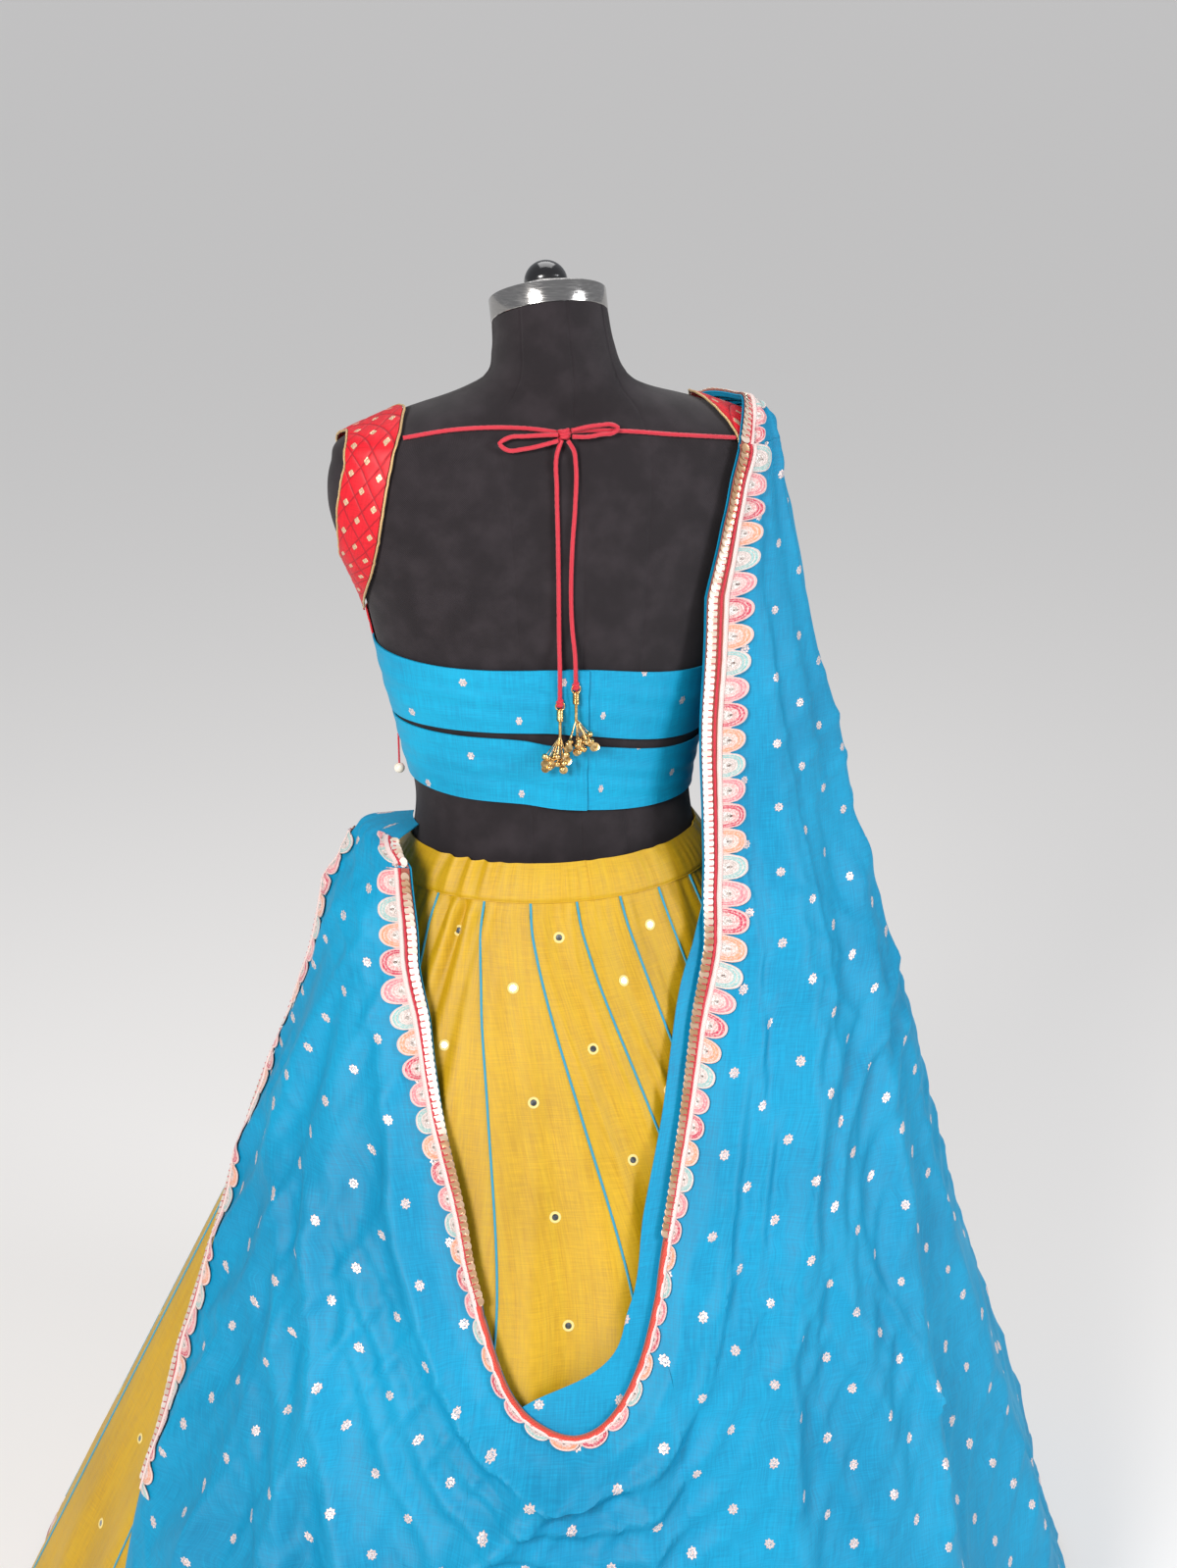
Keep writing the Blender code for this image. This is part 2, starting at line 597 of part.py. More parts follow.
def dori():
    """The tie across the open back: two cords, a bow and two tails."""
    for name, rows in TIES.items():
        angles, heights, lifts = (np.array(values) for values in zip(*rows))
        spacing = 0.0080 if "loop" in name else 0.015
        tube(name, smooth_route(on_body(angles, heights, lifts), spacing), CORD_RADIUS, RED_CORD)
    mesh = bpy.data.meshes.new("dori_knot")
    shape = bmesh.new()
    bmesh.ops.create_uvsphere(shape, u_segments=12, v_segments=8, radius=1.0)
    bmesh.ops.scale(shape, vec=(0.0068, 0.0047, 0.0064), verts=shape.verts)
    shape.to_mesh(mesh)
    shape.free()
    knot = add_object("dori_knot", mesh, RED_CORD)
    knot.location = on_body(*KNOT)
    knot.rotation_euler = (0, 0, math.radians(KNOT[0]))


def latkan(name, angle, top, fan):
    """Tassel of small bells: a wrapped stem with strands that spread from its lower end."""
    stem_top = on_body(angle, top, 0.0094)
    stem = turned(name, [(0, 0), (0.0030, -0.0012), (0.0038, -0.0042), (0.0030, -0.0072), (0.0016, -0.0085),
                         (0.0016, -0.0180), (0.0024, -0.0190), (0.0024, -0.0330), (0, -0.0345)], 10, GOLD)
    stem.location = stem_top
    strands = bpy.data.collections.new(name + "_strands")
    cutters.children.link(strands)
    for i, (aside, length) in enumerate(fan):
        strand = turned(name + "_strand_%d" % i, [
            (0, 0), (0.0007, -0.0004), (0.0007, -length + 0.0046), (0.0026, -length + 0.0036),
            (0.0031, -length + 0.0006), (0, -length)], 6, GOLD, strands)
        strand.location = stem_top + np.array([0, 0, -0.0310])
        strand.rotation_euler = (math.radians(5 - 13 * (i % 2)), math.radians(-aside), 0)
        strand.hide_render = True
        strand.display_type = "WIRE"
    join = stem.modifiers.new("strands", "BOOLEAN")
    join.operation = "UNION"
    join.operand_type = "COLLECTION"
    join.collection = strands
    join.solver = "EXACT"


def latkans():
    left = ((-34, 0.026), (-22, 0.034), (-12, 0.028), (-3, 0.038), (7, 0.030), (16, 0.024))
    right = ((-12, 0.026), (-2, 0.038), (8, 0.030), (18, 0.036), (28, 0.028), (38, 0.032))
    latkan("latkan_left", -13.0, 1.1035, left)
    latkan("latkan_right", -5.0, 1.1195, right)


def pearl():
    """Pearl drop on a short cord at the lower corner of the left side panel."""
    profile = [(0, PEARL_CORD), (0.0010, PEARL_CORD), (0.0010, 0.0050)]
    for turn in range(35, 161, 25):
        angle = math.radians(turn)
        profile.append((0.0053 * math.sin(angle), 0.0053 * math.cos(angle)))
    profile.append((0, -0.0053))
    drop = turned("pearl_drop", profile, 12, PEARL)
    drop.location = on_body(-98.2, CHOLI_BOTTOM + 0.031, CHOLI_CLEAR + CLOTH + 0.0014) - np.array([0, 0, PEARL_CORD])


def kali_seams():
    """Angle of each seam at the waistband: the pitch that the back shows, wider at the front."""
    seams = list(BACK_SEAMS)
    front = KALI_COUNT - len(seams) + 1
    start = seams[-1]
    span = 360 - (seams[-1] - seams[0])
    seams += [start + span * k / front for k in range(1, front)]
    return seams


def seam_angle(k, z):
    """Angle of a seam at a height: the drape pulls the back seams toward +X below the waist."""
    seams = kali_seams()
    waist = seams[k % KALI_COUNT] + 360 * (k // KALI_COUNT)
    even = seams[0] + k * 360.0 / KALI_COUNT
    down = np.clip((0.90 - z) / 0.90, 0, 1)
    aside = (waist + 20.0 + 180) % 360 - 180
    reach = 42.0 if aside < 0 else 38.0
    pull = 25.0 * math.exp(-((aside / reach) ** 2))
    drawn = through(down, (0, 0.18, 0.36, 0.60, 1.0), (0, 0.62, 0.95, 0.75, 0.30))
    share = np.clip(down, 0, 1) ** 1.5
    return waist * (1 - share) + even * share + pull * drawn


def kali_grid(k):
    """Points of one skirt panel: its seams stand on the crests of the skirt's folds."""
    heights = np.array([HEM_Z, 0.18, 0.37, 0.56, 0.74, WAIST_Z - BAND_HEIGHT])
    gap = np.degrees(SEAM_GAP / 2 / skirt_radius(0, heights)) * 1.6
    left = seam_angle(k, heights) + gap
    right = seam_angle(k + 1, heights) - gap
    share = np.linspace(0, 1, 4)
    angles = left[:, None] * (1 - share) + right[:, None] * share
    depth = 0.001 + 0.018 * (1 - heights / 0.9)
    wave = depth[:, None] * (np.cos(2 * math.pi * share)[None, :] - 1) * 0.5
    broad = 0.006 * (1 - heights / 0.9)[:, None] * np.sin(np.radians(angles * 7 + 40))
    return place(angles, skirt_radius(angles, heights[:, None]) + wave + broad, heights[:, None])


def skirt():
    """Gathered waistband, flared panels and the lace round the hem."""
    gathers = 42
    angles = np.linspace(0, 360, 2 * gathers, endpoint=False)
    bunch = np.where(np.abs((angles + 25 + 180) % 360 - 180) < 22, 0.0004, 0.0014)
    ripple = bunch * np.where(np.arange(2 * gathers) % 2 == 0, 1, -1)
    heights = np.array([WAIST_Z - BAND_HEIGHT + SEAM_GAP, 0.927, WAIST_Z])
    flare = np.array([0.0, -0.0014, -0.0033])
    gathered = np.array([0.4, 1.0, 1.0])
    radius = skirt_radius(angles[None, :], heights[:, None]) + (flare + 0.0023)[:, None] + gathered[:, None] * ripple
    wall("waistband", place(angles[None, :], radius, heights[:, None]), CLOTH, MUSTARD_SILK, closed=True)
    hem = []
    for k in range(KALI_COUNT):
        grid = kali_grid(k)
        wall("kali_%02d" % (k + 1), grid, CLOTH, MUSTARD_SILK)
        lifted = grid[:2] + grid_normals(grid)[:2] * (CLOTH + 0.0022)
        for j in (0.0, 1.0, 2.0):
            i = min(int(j), 2)
            side = lifted[:, i] * (1 - (j - i)) + lifted[:, i + 1] * (j - i)
            hem.append([side[0] * (1, 1, 0) + (0, 0, HEM_Z), walk(side, LACE_WIDTH)])
    wall("hem_lace", np.array(hem).transpose(1, 0, 2), LACE, PINK_LACE, closed=True)


def left_grid():
    """Left stretch: from the tuck over the waistband down to the hem."""
    heights = np.array([0.014, 0.09, 0.17, 0.252, 0.33, 0.40, 0.46, 0.52, 0.575, 0.613, 0.66,
                        0.70, 0.74, 0.79, 0.84, 0.885, 0.92, 0.945])
    share = np.linspace(0, 1, 11)
    far = column(LEFT, heights, 1)
    laced = column(LEFT, heights, 2) - np.where(heights < 0.58, 0.08, 0)
    angles = far[:, None] * (1 - share) + laced[:, None] * share
    edge = np.clip(share / 0.1, 0, 1)
    grid = place(angles, drape_radius(angles, heights[:, None])
                 + fold_lift(angles, heights[:, None]) * edge, heights[:, None])
    over_angles = np.linspace(far[-1], TUCK_OVER_END, len(share))
    over = place(over_angles, drape_radius(over_angles, 0.955) - 0.012, 0.9575)
    tucked_angles = np.linspace(far[-1], TUCK_END, len(share))
    tucked = place(tucked_angles, body_radius(tucked_angles, 0.9600) + 0.0016, 0.9600)
    return np.concatenate([grid, over[None], tucked[None]])


def swag_grid():
    """Stretch that hangs below the U of the laced edge."""
    angles = np.linspace(-27.4, 1.3, 9)
    top = through(angles, U_BOTTOM[:, 0], U_BOTTOM[:, 1])
    share = np.linspace(0, 1, 10) ** 0.9
    heights = 0.014 + (top[None, :] - 0.014) * share[:, None]
    radius = drape_radius(angles[None, :], heights) + fold_lift(angles[None, :], heights)
    return place(angles[None, :] + 0 * heights, radius, heights)


def fall_grid():
    """Right fall: from the shoulder to the hem, spreading like a tent."""
    heights = np.array([0.014, 0.09, 0.17, 0.25, 0.33, 0.41, 0.48, 0.535, 0.585, 0.62, 0.653, 0.69, 0.73, 0.77,
                        0.81, 0.85, 0.90, 0.96, 1.03, 1.10, 1.17, 1.23, 1.28, 1.305, 1.326])
    share = np.linspace(0, 1, 13)
    laced = np.maximum(column(FALL, heights, 1), U_BOTTOM[-1, 0]) + np.where(heights < 0.59, 0.14, 0)
    far = column(FALL, heights, 2)
    angles = laced[:, None] * (1 - share) + far[:, None] * share
    radius = drape_radius(angles, heights[:, None]) + fold_lift(angles, heights[:, None])
    return place(angles, radius, heights[:, None])


def shoulder_grid(last_row):
    """Gathered stretch over the right shoulder, from the fall's first row to the front."""
    share = np.linspace(0, 1, last_row.shape[0])
    rows = [last_row + np.array([0, 0, 5 * SEAM_GAP])]
    arch = ((80.0, 1.3490, 91.0, 1.3310, 0.0130), (90.0, 1.3515, 94.0, 1.3380, 0.0104),
            (103.0, 1.3490, 97.5, 1.3350, 0.0098), (112.0, 1.3350, 100.0, 1.3200, 0.0098))
    pleats = 0.0016 * (1 + np.cos(2 * math.pi * 4 * share))
    for neck_angle, neck_z, arm_angle, arm_z, lift in arch:
        angle = neck_angle * (1 - share) + arm_angle * share
        height = neck_z * (1 - share) + arm_z * share
        rows.append(on_body(angle, height, lift + pleats))
    return np.array(rows)


def front_grid(first_row):
    """Pleated end that hangs in front from the right shoulder; rows from low to high."""
    heights = np.array([0.56, 0.64, 0.72, 0.80, 0.88, 0.96, 1.04, 1.12, 1.19, 1.25, 1.30])
    outer = through(heights, (0.56, 0.90, 1.10, 1.25, 1.30), (122, 119, 113, 104, 101.5))
    inner = through(heights, (0.56, 0.90, 1.10, 1.25, 1.30), (150, 150, 145, 128, 118))
    share = np.linspace(0, 1, first_row.shape[0])
    angles = inner[:, None] * (1 - share) + outer[:, None] * share
    pleats = 0.003 * (1 + np.cos(2 * math.pi * 4 * share))
    rows = place(angles, hang_radius(angles, heights[:, None]) + 0.004 + pleats, heights[:, None])
    return np.concatenate([rows, (first_row - np.array([0, 0, 2 * SEAM_GAP]))[None]])


def under_grid():
    """Layer turned under inside the U, between the skirt and the laced edge."""
    heights = np.array([0.455, 0.490, 0.508, 0.526, 0.552, 0.577, 0.61, 0.654, 0.715, 0.77, 0.831, 0.87, 0.905])
    share = np.linspace(0, 1, 4)
    angles = column(UNDER, heights, 1)[:, None] * (1 - share) + column(UNDER, heights, 2)[:, None] * share
    return place(angles, hang_radius(angles, heights[:, None]) - 0.0021, heights[:, None])


def on_drape(theta, z, lift):
    """Point at a lift above the dupatta's surface, along its normal."""
    def surface(angle, height):
        return place(angle, drape_radius(angle, height) + fold_lift(angle, height), height)

    around = surface(theta + 0.5, z) - surface(theta - 0.5, z)
    upward = surface(theta, z + 0.003) - surface(theta, z - 0.003)
    normal = np.cross(around, upward)
    normal /= np.linalg.norm(normal, axis=-1, keepdims=True)
    return surface(theta, z) + normal * lift


def u_lines(edge, lift):
    """Lines from the edge of the U into the cloth, each square to the edge, for its lace."""
    radius = hang_radius(edge[:, 0], edge[:, 1])
    east = np.gradient(np.radians(edge[:, 0])) * radius
    north = np.gradient(edge[:, 1]) * SLANT
    for values in (east, north):
        values[1:-1] = (values[:-2] + values[1:-1] + values[2:]) / 3
    length = np.hypot(east, north)
    inward = np.linspace(0, LACE_WIDTH * 1.1, 5)
    theta = edge[:, 0, None] + np.degrees(north / length / radius)[:, None] * inward
    z = edge[:, 1, None] - (east / length / SLANT)[:, None] * inward
    return on_drape(theta, z, lift)[::-1]


def dupatta():
    """Long scarf in the stretches that show, with scalloped lace on its edges."""
    left = left_grid()
    swag = swag_grid()
    fall = fall_grid()
    shoulder = shoulder_grid(fall[-1])
    front = front_grid(shoulder[-1])
    wall("dupatta_left", left, SILK, BLUE_SILK)
    wall("dupatta_swag", swag, SILK, BLUE_SILK)
    wall("dupatta_fall", fall, SILK, BLUE_SILK)
    wall("dupatta_shoulder", shoulder, SILK, BLUE_SILK)
    wall("dupatta_front", front[:, ::-1], SILK, BLUE_SILK)
    wall("dupatta_under_fold", under_grid(), SILK, BLUE_SILK)
    over = SILK + 0.0016
    names = ("lace_u_left", "lace_u_bottom", "lace_u_right")
    widths = ((LACE_WIDTH, LACE_WIDTH), (ROLLED_WIDTH, LACE_WIDTH), (LACE_WIDTH, ROLLED_WIDTH))
    for name, edge, ends in zip(names, u_edge(30), widths):
        edge_lace(name, u_lines(edge, over + 0.0012), SCALLOP_PITCH, ends, PINK_LACE)
    end_lines = (left + grid_normals(left) * over)[4:18][::-1]
    edge_lace("lace_short_end", end_lines, SCALLOP_PITCH, (LACE_WIDTH, LACE_WIDTH), PINK_LACE)


dress_form()
choli()
bands()
dori()
latkans()
pearl()
skirt()
dupatta()
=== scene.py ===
# %% [markdown]
# # A lehenga choli on a dress form
# A lehenga choli is a three-piece dress: a short blouse (the choli), a long skirt cut in
# many flared panels called kalis, and a wide scarf, the dupatta. Here it hangs on a black
# dress form and shows its open back. Cloth is the hard part of this subject, because its
# shape comes from how it was cut and what holds it. So each piece is a sheet that a formula
# puts where the cloth hangs, and the finishes are built from nodes on top of that.

# %% Load the frame that every piece has to fit
import json
import math

import bpy
import numpy as np
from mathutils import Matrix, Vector

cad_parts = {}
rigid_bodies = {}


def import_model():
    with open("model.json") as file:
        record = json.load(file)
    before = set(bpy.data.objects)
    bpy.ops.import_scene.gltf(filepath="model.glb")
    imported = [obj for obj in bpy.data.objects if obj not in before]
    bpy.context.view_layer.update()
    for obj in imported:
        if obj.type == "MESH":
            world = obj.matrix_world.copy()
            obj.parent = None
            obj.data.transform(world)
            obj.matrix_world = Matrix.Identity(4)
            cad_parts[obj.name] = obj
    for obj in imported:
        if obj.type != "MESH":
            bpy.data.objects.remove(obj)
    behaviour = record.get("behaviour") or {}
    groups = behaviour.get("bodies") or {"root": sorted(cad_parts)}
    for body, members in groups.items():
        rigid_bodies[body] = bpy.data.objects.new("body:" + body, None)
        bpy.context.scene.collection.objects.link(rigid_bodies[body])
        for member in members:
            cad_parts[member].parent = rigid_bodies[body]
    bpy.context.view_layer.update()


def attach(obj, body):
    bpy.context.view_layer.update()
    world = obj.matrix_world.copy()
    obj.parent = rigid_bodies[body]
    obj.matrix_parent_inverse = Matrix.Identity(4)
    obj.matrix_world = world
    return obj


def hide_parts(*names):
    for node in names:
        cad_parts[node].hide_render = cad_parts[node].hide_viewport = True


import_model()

# %% [markdown]
# ## Camera
# The picture was taken from behind, a little to the wearer's left and from above head height.
# A 50 mm lens on a 36 mm sensor at just over two metres gives the same narrowing toward
# the floor. The tilt is a rotation of 70 degrees: a camera that isn't turned looks straight down.

# %% Camera behind the left shoulder
LENS = 50.0
CAMERA_TURN = -16.6
CAMERA_AWAY = 2.05
CAMERA_UP = 1.73
CAMERA_ASIDE = 0.035
LOOK_DOWN = 20.0


def direction(degrees):
    """Unit vector away from the form at an angle from the middle of the back, toward +X."""
    turn = math.radians(degrees)
    return np.array([math.sin(turn), -math.cos(turn), 0.0])


def add_camera():
    aside = direction(CAMERA_TURN + 90)
    spot = direction(CAMERA_TURN) * CAMERA_AWAY + aside * CAMERA_ASIDE + (0, 0, CAMERA_UP)
    bpy.ops.object.camera_add(location=spot, rotation=(
        math.radians(90 - LOOK_DOWN), 0, math.radians(CAMERA_TURN)))
    camera = bpy.context.object
    camera.data.lens = LENS
    camera.data.sensor_width = 36.0
    bpy.context.scene.camera = camera
    return camera


print("camera at", tuple(round(x, 3) for x in add_camera().location))

# %% [markdown]
# ## Floor and light
# Silk shows its sheen only under large, soft lamps. Two wide panels stand behind the camera, the
# stronger one on the left, so that folds show soft shade and no hard shadow. A third lights
# the shoulders from above. The floor glows a little, as a studio floor lit from all sides does,
# and a dim pale world fills what is left.

# %% A pale floor and three soft panels
FLOOR_SIZE = 9000.0
FLOOR_GLOW = 0.42
ROOM_LIGHT = 0.34


def add_floor():
    bpy.ops.mesh.primitive_plane_add(size=FLOOR_SIZE, location=(0, 0, -0.0005))
    floor = bpy.context.object
    floor.name = "studio_floor"
    paint = bpy.data.materials.new("pale_floor")
    paint.use_nodes = True
    shader = paint.node_tree.nodes["Principled BSDF"]
    shader.inputs["Base Color"].default_value = (0.50, 0.49, 0.48, 1)
    shader.inputs["Roughness"].default_value = 0.8
    shader.inputs["Emission Color"].default_value = (0.86, 0.85, 0.84, 1)
    shader.inputs["Emission Strength"].default_value = FLOOR_GLOW
    floor.data.materials.append(paint)


def add_panel(name, place, target, size, power, tint):
    bpy.ops.object.light_add(type="AREA", location=place)
    lamp = bpy.context.object
    lamp.name = name
    lamp.data.shape = "RECTANGLE"
    lamp.data.size, lamp.data.size_y = size
    lamp.data.energy = power
    lamp.data.color = tint
    toward = lamp.location - Vector(target)
    lamp.rotation_euler = toward.to_track_quat("Z", "Y").to_euler()


add_floor()
add_panel("key_panel", (-2.5, -2.6, 2.8), (0, 0, 0.9), (1.1, 1.2), 158, (1.0, 0.97, 0.94))
add_panel("fill_panel", (2.7, -2.3, 2.2), (0, 0, 0.8), (1.2, 1.4), 84, (0.97, 0.98, 1.0))
add_panel("top_panel", (0.3, 0.9, 3.4), (0, 0, 1.1), (1.8, 1.8), 26, (1.0, 1.0, 1.0))
world = bpy.data.worlds.new("soft_room")
world.use_nodes = True
sky = world.node_tree.nodes["Background"].inputs
sky["Color"].default_value = (0.93, 0.95, 1.0, 1)
sky["Strength"].default_value = ROOM_LIGHT
bpy.context.scene.world = world
bpy.context.scene.view_settings.view_transform = "Standard"

# %% [markdown]
# ## Writing shader maths as Python
# A woven or embroidered pattern is arithmetic on a position: how far along the piece, how far
# across, how far from the middle of the nearest motif. Dragging dozens of Math nodes by hand
# is slow, so a small class wraps one socket and lets plus, minus and times add the nodes.

# %% A socket that understands arithmetic
class Wire:
    """One output socket of a finish. Arithmetic on it adds Math nodes."""

    def __init__(self, finish, socket):
        self.finish = finish
        self.socket = socket

    def math(self, operation, *others):
        values = dict(enumerate((self, *others)))
        return self.finish.node("ShaderNodeMath", {"operation": operation}, values)

    def __add__(self, other): return self.math("ADD", other)
    def __sub__(self, other): return self.math("SUBTRACT", other)
    def __mul__(self, other): return self.math("MULTIPLY", other)
    def __truediv__(self, other): return self.math("DIVIDE", other)
    def __pow__(self, other): return self.math("POWER", other)
    def __rsub__(self, other): return self.finish.node(
        "ShaderNodeMath", {"operation": "SUBTRACT"}, {0: other, 1: self})
    __radd__ = __add__
    __rmul__ = __mul__

    def wave(self, length): return (self * (2 * math.pi / length)).math("SINE")
    def floor(self): return self.math("FLOOR")
    def part(self): return self.math("FRACT")
    def size(self): return self.math("ABSOLUTE")
    def least(self, other): return self.math("MINIMUM", other)
    def most(self, other): return self.math("MAXIMUM", other)

    def ramp(self, low, high, start=0.0, end=1.0):
        """Goes smoothly from start at low to end at high, and stays there."""
        return self.finish.node(
            "ShaderNodeMapRange", {"interpolation_type": "SMOOTHSTEP"},
            {"Value": self, "From Min": low, "From Max": high, "To Min": start, "To Max": end})


# %% [markdown]
# A finish is a material with one Principled shader. Every other node comes from one method
# that takes the node's type, its settings and what goes into its sockets.

# %% A material that hands out its nodes
class Finish:
    """A material: node() adds any node, paint() sets the shader's sockets."""

    def __init__(self, name, **constants):
        self.material = bpy.data.materials.new(name)
        self.material.use_nodes = True
        self.tree = self.material.node_tree
        self.shader = self.tree.nodes["Principled BSDF"]
        self.paint(**constants)

    def node(self, kind, settings=None, inputs=None, output=0):
        made = self.tree.nodes.new(kind)
        for key, value in (settings or {}).items():
            if key == "stops":
                self.set_stops(made.color_ramp, value)
            elif key == "stepped":
                made.color_ramp.interpolation = "CONSTANT"
            else:
                setattr(made, key, value)
        for key, value in (inputs or {}).items():
            self.feed(made.inputs[key], value)
        return Wire(self, made.outputs[output])

    def feed(self, socket, value):
        if isinstance(value, Wire):
            self.tree.links.new(value.socket, socket)
        else:
            socket.default_value = value

    def set_stops(self, ramp, stops):
        while len(ramp.elements) < len(stops):
            ramp.elements.new(1.0)
        for element, (place, colour) in zip(ramp.elements, stops):
            element.position = place
            element.color = (*colour, 1)

    def paint(self, **sockets):
        """Sets sockets by name, with _ for a space."""
        for key, value in sockets.items():
            if isinstance(value, tuple) and len(value) == 3:
                value = (*value, 1)
            self.feed(self.shader.inputs[key.replace("_", " ")], value)

    def place(self):
        """Position on the piece, in metres."""
        return self.node("ShaderNodeTexCoord", output="Object")

    def cut(self):
        """Place on the flat cut of the cloth, in metres: (along the width, along the length)."""
        return self.split(self.node("ShaderNodeTexCoord", output="UV"))[:2]

    def split(self, vector):
        made = self.tree.nodes.new("ShaderNodeSeparateXYZ")
        self.feed(made.inputs[0], vector)
        return [Wire(self, socket) for socket in made.outputs]

    def join(self, x, y, z=0.0):
        return self.node("ShaderNodeCombineXYZ", {}, {0: x, 1: y, 2: z})

    def noise(self, vector, scale, detail=2.0):
        return self.node("ShaderNodeTexNoise", {}, {"Vector": vector, "Scale": scale, "Detail": detail})

    def stretched(self, vector, stretch, scale, detail=2.0):
        """Noise drawn out along the axes with small numbers, as threads are."""
        return self.noise(self.node("ShaderNodeMapping", {}, {
            "Vector": vector, "Scale": stretch}), scale, detail)

    def mix(self, share, first, second):
        first, second = ((*c, 1) if isinstance(c, tuple) else c for c in (first, second))
        return self.node("ShaderNodeMix", {"data_type": "RGBA"}, {0: share, 6: first, 7: second}, 2)

    def relief(self, height, metres, strength=1.0):
        """Feeds a height from 0 to 1, so many metres deep, to the shader's normal."""
        self.paint(Normal=self.node("ShaderNodeBump", {}, {
            "Height": height, "Distance": metres, "Strength": strength}))

    def half_drop(self, across, along, pitch_across, pitch_along):
        """Place from the middle of the nearest motif; every other column sits half a step lower."""
        column = (across / pitch_across).floor()
        lowered = along / pitch_along + column.math("MODULO", 2.0).size() * 0.5
        return (((across / pitch_across).part() - 0.5) * pitch_across,
                (lowered.part() - 0.5) * pitch_along)

    def weave(self, across, along, thread):
        """Plain weave: threads over and under one another."""
        return across.wave(thread * 2) * along.wave(thread * 2) * 0.5 + 0.5


print("shader class ready:", Finish.__name__)

# %% [markdown]
# ## Sizes of the dress and the form
# All sizes are in metres and angles in degrees, counted from the middle of the back toward
# the wearer's right. The tables hold the form's sections and the lines that the cloth's edges
# follow. A smooth curve through each column gives every size in between.

# %% Tables of the form and the drape
SEAM_GAP = 0.0003
CLOTH = 0.0015
SILK = 0.0012
HEM_Z = 0.012
HEM_RADIUS = 0.600
WAIST_Z = 0.945
WAIST_RADIUS = 0.145
BAND_HEIGHT = 0.034
FLATTER_WAIST = 0.030
RIGHT_NARROWER = 0.045
LEFT_WIDER = 0.026
FALL_TOP = 1.326
SLANT = 1.11

# Sections of the form: height, half width, depth to the back, depth to the front, middle in Y
BODY = np.array([
    (0.720, 0.168, 0.104, 0.112, 0.000), (0.780, 0.178, 0.112, 0.118, 0.000),
    (0.860, 0.163, 0.108, 0.112, 0.000), (0.940, 0.144, 0.103, 0.104, 0.000),
    (0.985, 0.139, 0.098, 0.100, 0.000), (1.040, 0.149, 0.099, 0.106, 0.000),
    (1.100, 0.163, 0.103, 0.116, 0.000), (1.160, 0.176, 0.106, 0.124, 0.000),
    (1.190, 0.183, 0.107, 0.122, 0.000), (1.215, 0.193, 0.107, 0.118, 0.000),
    (1.250, 0.207, 0.106, 0.112, 0.000), (1.288, 0.215, 0.103, 0.104, 0.000),
    (1.320, 0.211, 0.096, 0.094, 0.000), (1.343, 0.199, 0.087, 0.083, 0.000),
    (1.354, 0.172, 0.081, 0.077, 0.000), (1.366, 0.139, 0.075, 0.070, 0.000),
    (1.375, 0.106, 0.071, 0.066, -0.003), (1.384, 0.083, 0.067, 0.062, -0.008),
    (1.397, 0.066, 0.061, 0.057, -0.014), (1.420, 0.057, 0.056, 0.055, -0.006),
    (1.445, 0.054, 0.054, 0.054, 0.004)])
# Right fall of the scarf: height, angle of its laced edge, angle of its far edge, side radius
FALL = np.array([
    (0.015, 1.3, 106, 0.560), (0.203, 1.3, 108, 0.518), (0.350, 1.3, 110, 0.469),
    (0.482, 1.3, 112, 0.426), (0.585, 1.4, 112, 0.395), (0.653, 6.5, 112, 0.375),
    (0.714, 12.7, 112, 0.359), (0.791, 23.0, 112, 0.339), (0.865, 37.0, 112, 0.318),
    (0.920, 42.0, 111, 0.306), (0.970, 44.0, 110, 0.297), (1.065, 47.0, 106, 0.277),
    (1.141, 52.0, 102, 0.255), (1.221, 55.8, 99, 0.237), (1.270, 58.6, 97, 0.222),
    (1.305, 62.5, 97, 0.211), (1.326, 67.0, 97, 0.202)])
ACROSS_FALL = np.array([(0.00, 0.00), (0.30, 0.42), (0.62, 0.95), (0.82, 1.00), (1.00, 0.85)])
# Left stretch: height, far edge, laced edge, stand-off at the side
LEFT = np.array([
    (0.015, -64.0, -27.4, 0.000), (0.252, -72.0, -27.4, 0.000), (0.330, -76.0, -27.4, 0.000),
    (0.383, -77.6, -27.4, 0.000), (0.424, -80.0, -27.4, 0.000), (0.520, -85.0, -27.4, 0.000),
    (0.575, -89.5, -27.5, 0.000), (0.613, -94.0, -30.2, 0.001), (0.660, -98.0, -33.4, 0.005),
    (0.734, -102.5, -41.1, 0.010), (0.809, -103.0, -49.7, 0.022), (0.848, -103.0, -54.9, 0.027),
    (0.892, -102.5, -58.4, 0.026), (0.930, -102.0, -62.0, 0.007), (0.950, -101.0, -63.5, 0.000)])
# Bottom of the U that the laced edge makes, and the layer turned under inside it
U_BOTTOM = np.array([(-27.4, 0.575), (-22.7, 0.518), (-16.8, 0.487), (-12.6, 0.481),
                     (-8.2, 0.493), (-3.0, 0.533), (1.3, 0.585)])
U_LEFT, U_RIGHT = U_BOTTOM[0, 0], U_BOTTOM[-1, 0]
U_SIDE = U_BOTTOM[-1, 1]
UNDER = np.array([
    (0.455, -26.0, 5.0), (0.490, -23.5, 5.0), (0.508, -19.0, 5.5), (0.526, -10.7, 6.0),
    (0.577, -3.3, 8.0), (0.654, 1.9, 14.0), (0.715, 8.2, 20.0), (0.831, 25.0, 36.0),
    (0.905, 43.5, 50.0), (0.935, 48.5, 54.0)])
print("form sections:", len(BODY), "rows of the fall:", len(FALL))

# %% [markdown]
# Folds are ridges along lines of (angle, height) points, each with its own height and half width.
# The first list holds the large folds that the drape's weight makes, the second the smaller
# creases between them.

